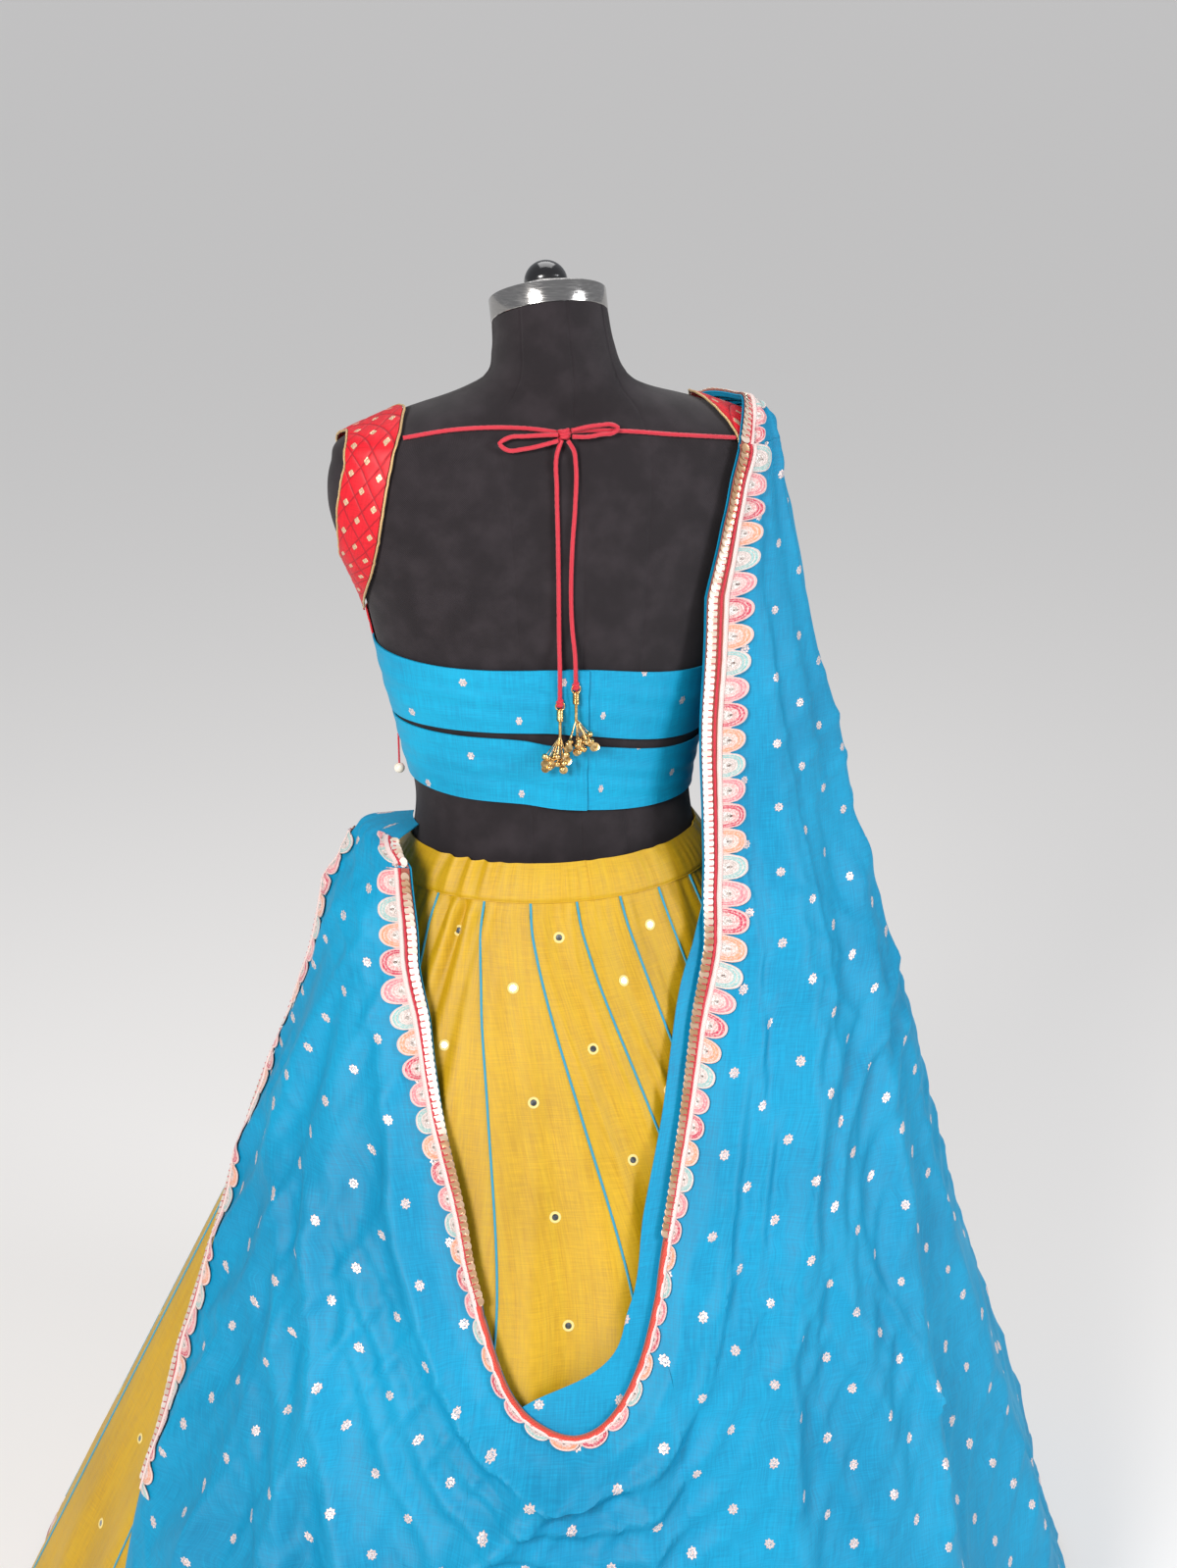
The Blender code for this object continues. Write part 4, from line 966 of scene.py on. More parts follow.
def brocade():
    made, ground, mask, threads, slub = silk(
        "red_brocade", (0.46, 0.0015, 0.008), (0.80, 0.006, 0.022), 0.0005,
        (0.0170, 0.0270, 0.0034, 4.0, 0.0009),
        dict(Specular_IOR_Level=0.40, Sheen_Weight=0.10, Sheen_Roughness=0.35,
             Sheen_Tint=(1.0, 0.25, 0.25)))
    across, along = made.cut()
    ribs = (across + along).wave(0.0024) * 0.5 + 0.5
    crease = ((across + along * 0.8) / 0.021).part() - 0.5
    other = ((across - along * 0.9) / 0.024).part() - 0.5
    pressed = crease.size().least(other.size()).ramp(0.0, 0.09)
    gold = made.mix(slub, (0.62, 0.40, 0.20), (0.92, 0.78, 0.55))
    # Along the pressed creases the red darkens to a deep red: painted shade in the crease valleys, on top
    # of their relief.
    made.paint(Base_Color=made.mix(mask, made.mix(pressed, (0.34, 0.004, 0.012), ground), gold),
               Metallic=mask * 0.6, Roughness=0.52 - mask * 0.16 - ribs * 0.06)
    made.relief(mask * 0.5 + pressed * 0.35 + ribs * 0.08 + threads * 0.07, 0.0009, 0.8)
    return made


def turquoise(name, dark, light, motif, crinkle, constants):
    made, ground, mask, threads, slub = silk(name, dark, light, 0.0005, motif, constants)
    mask = mask * made.noise(made.place(), 700.0, 2.0).ramp(0.30, 0.42)
    stitches = made.noise(made.place(), 1600.0, 1.0)
    silver = made.mix(stitches.ramp(0.35, 0.65), (0.58, 0.36, 0.33), (0.95, 0.87, 0.83))
    wrinkle = made.stretched(made.join(*made.cut()), (1.0, 0.35, 1.0), crinkle, 4.0)
    made.paint(Base_Color=made.mix(mask, ground, silver), Metallic=mask * 0.45,
               Roughness=slub.ramp(0.3, 0.7, 0.50, 0.62) - mask * 0.16)
    made.relief(mask * 0.45 + wrinkle * 0.40 + slub * 0.10 + threads * 0.05, 0.0012, 0.75)
    return made


def mustard():
    made, ground, _, threads, slub = silk(
        "mustard_silk", (0.40, 0.215, 0.001), (0.66, 0.385, 0.003), 0.0006, None,
        dict(Specular_IOR_Level=0.5, Sheen_Weight=0.12, Sheen_Roughness=0.35,
             Sheen_Tint=(1.0, 0.75, 0.20)))
    streak = made.stretched(made.join(*made.cut()), (1.0, 0.03, 1.0), 160.0, 3.0)
    made.paint(Base_Color=made.mix(streak.ramp(0.3, 0.8) * 0.35, ground, (0.62, 0.42, 0.012)),
               Roughness=slub.ramp(0.3, 0.7, 0.38, 0.54))
    made.relief(slub * 0.6 + threads * 0.4, 0.0005, 0.6)
    return made


SCARF_LIGHT = dict(Specular_IOR_Level=0.32, Sheen_Weight=0.08, Sheen_Roughness=0.4,
                   Sheen_Tint=(0.10, 0.75, 1.0))
BROCADE = brocade()
BAND_SILK = turquoise("turquoise_band_silk", (0.000, 0.225, 0.42), (0.000, 0.385, 0.63),
                      (0.060, 0.075, 0.0043, 6.0, 0.0010), 40.0, SCARF_LIGHT)
CREPE = turquoise("turquoise_crepe", (0.000, 0.190, 0.365), (0.000, 0.330, 0.575),
                  (0.0375, 0.070, 0.0050, 8.0, 0.0011), 120.0, SCARF_LIGHT)
MUSTARD = mustard()
print("silks:", [f.material.name for f in (BROCADE, BAND_SILK, CREPE, MUSTARD)])

# %% [markdown]
# ## Trimmings
# Threads, cords and metal: gold piping on the blouse, a turquoise piping in each skirt seam, the
# red tie, gold bells, mirrors and a pearl. Twisted threads show as slanting stripes, which
# the UV of a cord gives: once round, and along its length. The stripes are a relief whose
# grooves are darkened as painted shade; a two-tone braid also shows the colours of its threads.

# %% Threads, metal and pearl
def thread(name, dark, light, metal, rough, pitch):
    made = Finish(name, Specular_IOR_Level=0.5, Sheen_Weight=0.2, Sheen_Roughness=0.4)
    around, along = made.cut()
    twist = (along + around * 1.6).wave(pitch) * 0.5 + 0.5
    fuzz = made.noise(made.place(), 900.0, 2.0)
    # The colour follows the twist: darker in the grooves between the strands as painted shade, and in a
    # two-tone braid also the colours of its threads.
    made.paint(Base_Color=made.mix(twist * 0.7 + fuzz * 0.3, dark, light), Metallic=metal,
               Roughness=fuzz.ramp(0.3, 0.7, rough - 0.06, rough + 0.08))
    made.relief(twist, 0.0003, 0.8)
    return made


def metal(name, dark, light, rough):
    made = Finish(name, Metallic=1.0)
    worn = made.noise(made.place(), 220.0, 3.0)
    made.paint(Base_Color=made.mix(worn.ramp(0.35, 0.7), dark, light),
               Roughness=worn.ramp(0.3, 0.8, rough, rough + 0.18))
    made.relief(worn, 0.0002, 0.5)
    return made


def pearl_glow():
    made = Finish("pearl_glow", Coat_Weight=0.6, Coat_Roughness=0.1, Specular_IOR_Level=0.6)
    cloud = made.noise(made.place(), 160.0, 2.0)
    made.paint(Base_Color=made.mix(cloud, (0.78, 0.66, 0.48), (0.93, 0.88, 0.78)),
               Roughness=cloud.ramp(0.2, 0.8, 0.16, 0.3))
    return made


GOLD_THREAD = thread("gold_thread", (0.46, 0.26, 0.09), (0.86, 0.62, 0.30), 0.45, 0.42, 0.0016)
TURQUOISE_THREAD = thread("turquoise_piping", (0.010, 0.25, 0.42), (0.04, 0.42, 0.62), 0.0, 0.55, 0.0016)
RED_THREAD = thread("red_cord_thread", (0.36, 0.004, 0.018), (0.80, 0.030, 0.060), 0.0, 0.50, 0.0020)
PINK_BRAID = thread("pink_silver_braid", (0.66, 0.38, 0.35), (0.96, 0.88, 0.84), 0.10, 0.50, 0.0026)
RED_BRAID = thread("red_braid", (0.38, 0.006, 0.010), (0.88, 0.10, 0.05), 0.0, 0.55, 0.0030)
YELLOW_THREAD = thread("yellow_thread", (0.62, 0.42, 0.04), (0.95, 0.84, 0.42), 0.0, 0.55, 0.0008)
GOLD = metal("bell_gold", (0.62, 0.36, 0.12), (0.93, 0.68, 0.32), 0.18)
MIRROR = metal("mirror_glass", (0.22, 0.24, 0.25), (0.46, 0.48, 0.48), 0.10)
PEARL = pearl_glow()
print("trimmings:", [f.material.name for f in (GOLD_THREAD, RED_THREAD, GOLD, MIRROR, PEARL)])

# %% [markdown]
# ## The lace
# The border is a machine lace about 3.5 cm wide. From the edge inward it has a row of flat
# sequins, a red cord, a pale braid and then a row of tongue-shaped scallops. Each scallop is a
# nest of rings round a small eye, and one of the rings changes colour from scallop to scallop.
# All of this follows from two numbers, how far along the edge and how far inward, so
# the UV of the strip holds those.

# %% Lace and sequin finishes
SCALLOP_PITCH = 0.025
TONGUE_START = 0.0165
TONGUE_LONG = 0.0190
TONGUE_HALF = 0.0123
TONGUE_POWER = 2.3


def tongue_reach(x, y):
    """0 at the foot of a scallop, 1 on its outline; x is its own side-to-side distance, y inward."""
    return ((x / TONGUE_HALF) ** TONGUE_POWER + (y / TONGUE_LONG) ** TONGUE_POWER) ** (1 / TONGUE_POWER)


def lace_finish():
    made = Finish("scalloped_lace", Specular_IOR_Level=0.45, Sheen_Weight=0.25, Sheen_Roughness=0.4)
    along, inward = made.cut()
    step = along / SCALLOP_PITCH
    x = (step.part() - 0.5) * SCALLOP_PITCH
    y = (inward - TONGUE_START).most(0.0)
    reach = tongue_reach(x.size(), y)
    turn = (step.floor() / 4.0).part()
    line = made.node("ShaderNodeValToRGB", {"stops": (
        (0.0, (0.26, 0.60, 0.58)), (0.2, (0.80, 0.22, 0.27)), (0.45, (0.60, 0.006, 0.07)),
        (0.7, (0.86, 0.34, 0.17))), "stepped": True}, {"Fac": turn})
    blush = made.mix(0.35, (0.80, 0.52, 0.47), line)
    grain = made.noise(made.place(), 520.0, 2.0).ramp(0.38, 0.62)
    eye = made.mix(grain, (0.95, 0.93, 0.90), (0.62, 0.55, 0.50))
    crumb = ((x / 0.0013) ** 2.0 + ((y - 0.0055) / 0.0030) ** 2.0).ramp(0.5, 1.3, 1.0, 0.0)
    pale = made.mix(grain * 0.8, blush, (0.90, 0.76, 0.72))
    colour = made.mix(crumb * grain.ramp(0.0, 0.6, 1.0, 0.3), eye, (0.10, 0.06, 0.04))
    colour = made.mix(reach.ramp(0.32, 0.42), colour, pale)
    colour = made.mix(reach.ramp(0.60, 0.67), colour, made.mix(grain * 0.35, line, pale))
    colour = made.mix(reach.ramp(0.72, 0.75), colour, pale)
    colour = made.mix(reach.ramp(0.77, 0.80), colour, made.mix(grain * 0.45, line, pale))
    colour = made.mix(reach.ramp(0.87, 0.91), colour, made.mix(0.5, blush, (0.90, 0.74, 0.69)))
    tape = (TONGUE_START - inward).ramp(-0.0005, 0.0005)
    colour = made.mix(tape, colour, (0.40, 0.10, 0.06))
    stitch = (reach * 9.0).wave(1.0) * 0.25 + (along.wave(0.0021) * inward.wave(0.0019)) * 0.25 + 0.5
    fuzz = made.noise(made.place(), 1400.0, 2.0)
    depth = stitch * 0.7 + fuzz * 0.3
    # Where the stitch relief is low the colour darkens toward brown: painted shade in the hollows between
    # the stitches.
    made.paint(Base_Color=made.mix(depth.ramp(0.15, 0.7) * 0.75 + 0.25, made.mix(
        0.45, colour, (0.30, 0.13, 0.12)), colour),
        Metallic=(1.0 - reach.ramp(0.32, 0.42)) * (1.0 - tape) * 0.45,
        Roughness=fuzz.ramp(0.3, 0.7, 0.42, 0.62))
    made.relief(depth, 0.0009, 0.9)
    return made


def sequin_finish():
    made = Finish("sequin_shine", Coat_Weight=0.7, Coat_Roughness=0.08, Specular_IOR_Level=0.6)
    shade, kind = made.cut()
    pale = made.mix(shade, (0.90, 0.85, 0.74), (0.98, 0.96, 0.92))
    made.paint(Base_Color=made.mix(kind, pale, (0.50, 0.29, 0.15)), Metallic=kind * 0.35 + 0.05,
               Roughness=shade.ramp(0.0, 1.0, 0.18, 0.34))
    return made


LACE_THREAD = lace_finish()
SEQUIN = sequin_finish()
print("lace finishes:", LACE_THREAD.material.name, SEQUIN.material.name)

# %% [markdown]
# ## The blouse
# The choli has a front, two side panels and two shoulder straps, all cut from the red brocade
# and edged with gold piping. Nothing but cords and two bands crosses the back. Each piece
# stands two or three millimetres off the form, and pressed creases cross it on the slant.

# %% Edges of the blouse's pieces
CHOLI_CLEAR = 0.0018
STRAP_CLEAR = 0.0033
STRAP_WIDTH = 0.052
PIPING_RADIUS = 0.0012
# Strap from the underarm over the shoulder: angle and height of its neck edge and armhole edge
STRAP = np.array([
    (93.0, 1.1770, 113.0, 1.1870), (81.0, 1.2120, 100.0, 1.2130), (75.0, 1.2420, 87.0, 1.2450),
    (71.7, 1.2780, 82.5, 1.2850), (71.0, 1.3170, 81.5, 1.3200), (73.0, 1.3460, 83.0, 1.3380),
    (84.0, 1.3630, 87.5, 1.3450), (97.0, 1.3630, 93.5, 1.3450), (107.0, 1.3450, 100.0, 1.3300),
    (116.0, 1.3120, 105.0, 1.2950), (128.0, 1.2720, 112.0, 1.2600), (140.0, 1.2410, 120.0, 1.2330),
    (150.0, 1.2250, 128.0, 1.2150)])
# Top edge of the side panels and the front: angle from the middle of the back, height
CHOLI_TOP = np.array([
    (97.0, 1.1760), (105.0, 1.1790), (113.0, 1.1860), (121.0, 1.2020), (128.0, 1.2135),
    (140.0, 1.2180), (150.0, 1.2220), (165.0, 1.2120), (180.0, 1.2050)])
CHOLI_BOTTOM = 1.0150
SIDE_SEAM = 97.0
FRONT_SEAM = 127.5
FRONT_GAP = 0.15


def pressed(east, north, depth=0.0005):
    """Small creases that cross on the slant, where the brocade was folded."""
    first = np.abs(((east + north * 0.8) / 0.021) % 1 - 0.5)
    second = np.abs(((east - north * 0.9) / 0.024) % 1 - 0.5)
    return depth * np.clip(np.minimum(first, second) / 0.12, 0, 1)


def strap_points(side, columns, rows):
    steps = np.linspace(0, len(STRAP) - 1, rows)
    neck_angle, neck_z, arm_angle, arm_z = through(steps, np.arange(len(STRAP)), STRAP).T
    share = np.linspace(0, 1, columns)[None, :]
    angle = neck_angle[:, None] * (1 - share) + arm_angle[:, None] * share
    height = neck_z[:, None] * (1 - share) + arm_z[:, None] * share
    east = share * STRAP_WIDTH + 0 * angle
    middle = on_body(side * angle[:, columns // 2], height[:, columns // 2], 0.0)
    north = lengths(middle)[:, None] + 0 * share
    points = on_body(side * angle, height, STRAP_CLEAR + pressed(east, north))
    uv = np.stack([east, north], axis=-1)
    return (points, uv) if side > 0 else (points[:, ::-1], uv[:, ::-1])


def panel_points(start, end, columns, rows):
    """Part of the bodice between two angles, from the lower edge to the neckline."""
    angles = np.linspace(start, end, columns)
    folded = np.minimum(np.abs(angles), 360 - np.abs(angles))
    tops = column(CHOLI_TOP, folded, 1)
    heights = CHOLI_BOTTOM + (tops - CHOLI_BOTTOM) * np.linspace(0, 1, rows)[:, None]
    turned = np.where(angles > 180, angles - 360, angles)[None, :] + 0 * heights
    east = np.radians(angles)[None, :] * UV_RADIUS + 0 * heights
    points = on_body(turned, heights, CHOLI_CLEAR + pressed(east, heights))
    return points, np.stack([east, heights], axis=-1)


def declare(points):
    """Takes a sheet's points as columns and does nothing more with them."""
    columns = points.transpose(1, 0, 2)


def blouse():
    for side, word in ((-1, "left"), (1, "right")):
        points, uv = strap_points(side, 30, 230)
        strap = dress(cloth("brocade_strap_" + word, points, uv, CLOTH), BROCADE,
                      ["choli_strap_" + word])
        raised = points + normals_of(points) * CLOTH / 2
        for edge, inner in ((0, 3), (-1, -4)):
            aside = points[:, edge] - points[:, inner]
            aside /= np.linalg.norm(aside, axis=1, keepdims=True)
            label = "neck" if (edge == 0) == (side > 0) else "armhole"
            line = (raised[:, edge] + aside * (PIPING_RADIUS + 2 * SEAM_GAP))[3:-3]
            trim = cord("piping_thread_%s_%s" % (label, word), line[::2], PIPING_RADIUS, 10, 2, 0.004)
            dress(trim, GOLD_THREAD, ["piping_%s_%s" % (label, word)])
        declare(points)
        start, end = SIDE_SEAM, FRONT_SEAM - FRONT_GAP
        points, uv = panel_points(*((start, end) if side > 0 else (-end, -start)), 46, 96)
        panel = dress(cloth("brocade_side_" + word, points, uv, CLOTH), BROCADE,
                      ["choli_side_" + word])
        declare(points)
    points, uv = panel_points(FRONT_SEAM + FRONT_GAP, 360 - FRONT_SEAM - FRONT_GAP, 170, 100)
    front = dress(cloth("brocade_front", points, uv, CLOTH), BROCADE, ["choli_front"])
    declare(points)


blouse()

# %% [markdown]
# ## The bands across the back
# Two turquoise bands close the blouse. Each comes from both side seams, and the left end
# laps over the right one with a turned edge. Near the overlap the silk pulls into short creases.

# %% Turquoise bands
# Angle, top and bottom of the upper band, top and bottom of the lower band
BANDS = np.array([
    (-96.6, 1.1500, 1.0780, 1.0740, 1.0130), (-61.0, 1.1390, 1.0760, 1.0700, 1.0050),
    (-29.0, 1.1370, 1.0745, 1.0660, 1.0010), (-17.0, 1.1370, 1.0740, 1.0610, 0.9970),
    (3.0, 1.1340, 1.0680, 1.0570, 0.9920), (62.0, 1.1160, 1.0480, 1.0380, 0.9830),
    (96.6, 1.1120, 1.0460, 1.0360, 0.9860)])
BAND_SEAM = 96.6
BAND_UV_RADIUS = 0.16
OVERLAP_END = 2.5
UNDER_END = -9.5


def band_points(top, bottom, start, end, lift):
    angles = np.linspace(start, end, int(abs(end - start) * 2.4) + 8)
    lifts = CHOLI_CLEAR + (lift - CHOLI_CLEAR) * np.clip((angles + 30) / 18, 0, 1)
    low = column(BANDS, angles, bottom)
    high = column(BANDS, angles, top)
    share = np.linspace(0, 1, 40)[:, None]
    heights = low + (high - low) * share
    near = np.exp(-(((angles + 4) / 11.0) ** 2))[None, :]
    pulls = 0.0007 * near * (1 + np.sin(angles[None, :] * 1.35 + share * 5.0)) * np.sin(np.pi * share)
    long = 0.0005 * (1 + np.sin(share * 19 + angles[None, :] * 0.05)) * np.sin(np.pi * share)
    points = on_body(angles[None, :] + 0 * heights, heights, lifts[None, :] + pulls + long)
    across = np.radians(angles)[None, :] * BAND_UV_RADIUS + 0 * heights
    return points, np.stack([across, heights], axis=-1)


def back_bands():
    for word, top, bottom in (("upper", 1, 2), ("lower", 3, 4)):
        for side, start, end, lift in (("left", -BAND_SEAM, OVERLAP_END, 0.0040),
                                       ("right", UNDER_END, BAND_SEAM, CHOLI_CLEAR)):
            points, uv = band_points(top, bottom, start, end, lift)
            name = "%s_%s" % (word, side)
            band = dress(cloth("silk_band_" + name, points, uv, CLOTH), BAND_SILK,
                         ["band_" + name])
            declare(points)


back_bands()

# %% [markdown]
# ## The tie
# A tie called a dori holds the straps together high on the back. It is a cord of twisted silk, a
# little over four millimetres thick, knotted into a flat bow whose tails hang to the
# bands. Its route lies a little more than a cord's radius above the form, so it follows the
# shoulder blades.

# %% Cords of the tie and its knots
CORD_RADIUS = 0.00215
# Angle, height and lift above the form of the knot, and of the points that each cord passes
KNOT = (-8.7, 1.3502, 0.0054)
TIES = {
    "dori_left": ((-72.0, 1.3478, 0.0034), (-61.3, 1.3555, 0.0028), (-42.9, 1.3580, 0.0028),
                  (-25.0, 1.3560, 0.0028), (-13.0, 1.3525, 0.0044)),
    "dori_right": ((-4.4, 1.3525, 0.0044), (10.0, 1.3530, 0.0028), (31.2, 1.3500, 0.0028),
                   (50.0, 1.3440, 0.0030), (60.5, 1.3395, 0.0032), (70.2, 1.3340, 0.0032)),
    "dori_loop_left": ((-12.9, 1.3490, 0.0084), (-22.0, 1.3492, 0.0084), (-31.0, 1.3490, 0.0074),
                       (-38.2, 1.3486, 0.0064), (-41.6, 1.3440, 0.0058), (-38.2, 1.3394, 0.0056),
                       (-31.0, 1.3396, 0.0060), (-21.0, 1.3420, 0.0076), (-12.9, 1.3444, 0.0086)),
    "dori_loop_right": ((-4.1, 1.3520, 0.0090), (6.0, 1.3545, 0.0086), (16.0, 1.3555, 0.0078),
                        (22.6, 1.3552, 0.0074), (25.8, 1.3518, 0.0072), (22.0, 1.3484, 0.0074),
                        (14.0, 1.3476, 0.0080), (6.0, 1.3462, 0.0088), (-4.1, 1.3468, 0.0094)),
    "dori_tail_left": ((-10.6, 1.3452, 0.0066), (-13.0, 1.3360, 0.0046), (-13.4, 1.3050, 0.0028),
                       (-13.1, 1.2600, 0.0028), (-12.9, 1.2150, 0.0028), (-12.9, 1.1600, 0.0050),
                       (-13.0, 1.1400, 0.0086), (-13.0, 1.1040, 0.0086)),
    "dori_tail_right": ((-6.7, 1.3444, 0.0068), (-3.4, 1.3370, 0.0048), (-2.7, 1.3250, 0.0032),
                        (-4.2, 1.2900, 0.0032), (-6.1, 1.2510, 0.0030), (-6.3, 1.1770, 0.0034),
                        (-5.4, 1.1500, 0.0082), (-5.0, 1.1200, 0.0088))}


def tie_cord(name):
    angles, heights, lifts = np.array(TIES[name]).T
    line = evenly(on_body(angles, heights, lifts), 0.0030)
    made = cord(name.replace("dori", "tie"), line, CORD_RADIUS, 14, 2, 0.011)
    return dress(made, RED_THREAD, [name]), line


def knot(name, spot, turn, size, coils, replaced=()):
    """A cord wound on itself: a coil round a thick middle, closed up tight."""
    step = np.linspace(0, 1, coils * 14 + 1)
    angle = step * coils * 2 * math.pi
    ring = np.stack([size[0] * np.cos(angle) * (0.78 + 0.22 * np.sin(step * math.pi)),
                     size[1] * np.sin(angle), size[2] * (step * 2 - 1)], axis=-1)
    spin = math.radians(turn)
    turned = np.array([(math.cos(spin), -math.sin(spin), 0),
                       (math.sin(spin), math.cos(spin), 0), (0, 0, 1)])
    line = ring @ turned.T + spot
    made = cord(name, line, CORD_RADIUS * 0.92, 12, 2, 0.011)
    return dress(made, RED_THREAD, replaced)


def end_knot(name, line):
    """The small knot where a tail ends in its tassel."""
    return knot(name, line[-1] + (0, 0, 0.0012), 0, (0.0019, 0.0017, 0.0030), 2)


ties = {name: tie_cord(name) for name in TIES}
knot("tie_knot", on_body(*KNOT), KNOT[0], (0.0047, 0.0028, 0.0042), 3, ["dori_knot"])
end_knots = {side: end_knot("tie_end_knot_" + side, ties["dori_tail_" + side][1])
             for side in ("left", "right")}
print("cords of the tie, in cm:", [round(lengths(line)[-1] * 100, 1) for made, line in ties.values()])

# %% [markdown]
# ## Tassels
# Each tail ends in a latkan: a wire loop, a stem wound with wire, and a bunch of fine wires that
# carry small bells and coins. A bell and a coin are modelled once and then copied to the wires'
# ends, and the wires of a tassel are joined into one piece.

# %% Bells, wires and coins of the tassels
def small_bell():
    bell = add(bpy.ops.mesh.primitive_uv_sphere_add, segments=10, ring_count=7, radius=0.0028)
    for corner in bell.data.vertices:
        if corner.co.z < -0.0005:
            corner.co.x *= 1.12
            corner.co.y *= 1.12
        if corner.co.z < -0.0026:
            corner.co.z += 0.0008
    return bell


def small_coin():
    coin = add(bpy.ops.mesh.primitive_cylinder_add, vertices=16, radius=0.0040, depth=0.0005)
    pick(coin, lambda centre, normal: abs(normal.z) > 0.9)
    bpy.ops.mesh.inset(thickness=0.0008, use_individual=True)
    bpy.ops.transform.resize(value=(1, 1, 0.4))
    bpy.ops.object.mode_set(mode="OBJECT")
    return coin


def tassel(side, angle, top, fan, node):
    stem_top = on_body(angle, top, 0.0094)
    down = np.array([0, 0, -1.0])
    out = direction(angle)
    aside = direction(angle + 90)
    turn = np.linspace(0, 2 * math.pi, 22)
    loop = stem_top + 0.0042 * (np.cos(turn)[:, None] * aside + np.sin(turn)[:, None] * (0, 0, 1.0))
    wire = dress(cord("tassel_loop_" + side, loop - (0, 0, 0.0005), 0.0006, 8), GOLD)
    steps = np.linspace(0, 1, 60)
    coil = 9 * 2 * math.pi * steps
    wound = stem_top + np.stack([0.0022 * np.cos(coil), 0.0022 * np.sin(coil),
                                 -0.0040 - steps * 0.0105], axis=-1)
    winding = dress(cord("tassel_winding_" + side, wound, 0.0012, 8), GOLD)
    rod = stem_top + down * np.linspace(0.0030, 0.0320, 12)[:, None]
    stem = dress(cord("tassel_stem_" + side, rod, 0.0015, 10), GOLD, [node])
    draw = np.random.default_rng(7 if side == "left" else 11)
    tilts, lengths_of = [], []
    for lean, length in fan:
        for _ in range(3):
            swing = math.radians(lean + draw.uniform(-7, 7))
            back = draw.uniform(-0.02, 0.42)
            ray = down * math.cos(swing) + aside * math.sin(swing) + out * back
            tilts.append(ray / np.linalg.norm(ray))
            lengths_of.append(length * draw.uniform(0.62, 1.0))
    root = stem_top + down * 0.0300
    tilts, lengths_of = np.array(tilts), np.array(lengths_of)
    ends = root + tilts * lengths_of[:, None]
    wide = np.cross(tilts, out)
    bells = copies("tassel_bells_" + side, small_bell(), ends, wide, np.cross(tilts, wide))
    coins_at = root + tilts[::4] * (lengths_of[::4, None] + 0.006)
    coins = copies("tassel_coins_" + side, small_coin(), coins_at, tilts[::4], wide[::4])
    strands = [dress(cord("tassel_wire_%s_%02d" % (side, i), np.linspace(root, end, 5), 0.0004, 6),
                     GOLD) for i, end in enumerate(ends)]
    joined = join("tassel_wires_" + side, strands)
    dress(bells, GOLD)
    dress(coins, GOLD)
    return [stem, wire, winding, bells, coins, joined]


def join(name, things):
    bpy.ops.object.select_all(action="DESELECT")
    for thing in things:
        thing.select_set(True)
    bpy.context.view_layer.objects.active = things[0]
    bpy.ops.object.join()
    things[0].name = things[0].data.name = name
    return things[0]


LEFT_FAN = ((-34, 0.026), (-22, 0.034), (-12, 0.028), (-3, 0.038), (7, 0.030), (16, 0.024))
RIGHT_FAN = ((-12, 0.026), (-2, 0.038), (8, 0.030), (18, 0.036), (28, 0.028), (38, 0.032))
tassels = {"left": tassel("left", -13.0, 1.1035, LEFT_FAN, "latkan_left"),
           "right": tassel("right", -5.0, 1.1195, RIGHT_FAN, "latkan_right")}
print("pieces of each tassel:", len(tassels["left"]))

# %% [markdown]
# A cord is a fixed length of something limp. For each cord of the tie the code works out how it
# lies and what its far end meets, and does nothing more with these. The short cords are drawn
# taut to the knot, the tails hang.

# %% How each cord of the tie lies and what it ends in, worked out and left unused
def declare_ties():
    for name, (made, line) in ties.items():
        tail = name.startswith("dori_tail")
        side = name.split("_")[-1]
        far_end = "fitting" if tail else "knot" if name == "dori_left" else "object"
        lay = "hanging" if tail else "loose" if "loop" in name else "taut"


declare_ties()
print("cords declared:", len(ties))

# %% [markdown]
# A pearl hangs on a short cord at the lower corner of the left side panel.

# %% Pearl drop
PEARL_CORD = 0.036
PEARL_RADIUS = 0.0053


def pearl_drop():
    top = on_body(-98.2, CHOLI_BOTTOM + 0.031, CHOLI_CLEAR + CLOTH + 0.0014)
    centre = top - (0, 0, PEARL_CORD)
    bead = settle(add(bpy.ops.mesh.primitive_uv_sphere_add, segments=48, ring_count=32,
                      radius=PEARL_RADIUS, location=centre))
    bead.name = "pearl_bead"
    dress(smooth(bead), PEARL, ["pearl_drop"])
    line = np.linspace(top, centre + (0, 0, 0.0045), 20)
    return dress(cord("pearl_cord", line, 0.0010, 10, 2, 0.006), RED_THREAD)


print("pearl cord:", len(pearl_drop().data.polygons), "faces")

# %% [markdown]
# ## The skirt
# The lehenga is sewn from twenty flared panels, the kalis. Their seams carry a thin turquoise
# piping and stand on the crests of the folds, and the silk sinks into a soft trough
# between two seams. At the waist a band gathers them, so small pleats run down from it and die out.
# The seams that the back shows keep their pitch, and the rest share what is left of the round.

# %% Seams and surface of the skirt
KALI_COUNT = 20
BUNCH_AT = 52


def kali_seams():
    """Angle of each seam at the waistband: the pitch that the back shows, wider at the front."""
    seams = list(BACK_SEAMS)
    front = KALI_COUNT - len(seams) + 1
    span = 360 - (seams[-1] - seams[0])
    return seams + [seams[-1] + span * k / front for k in range(1, front)]


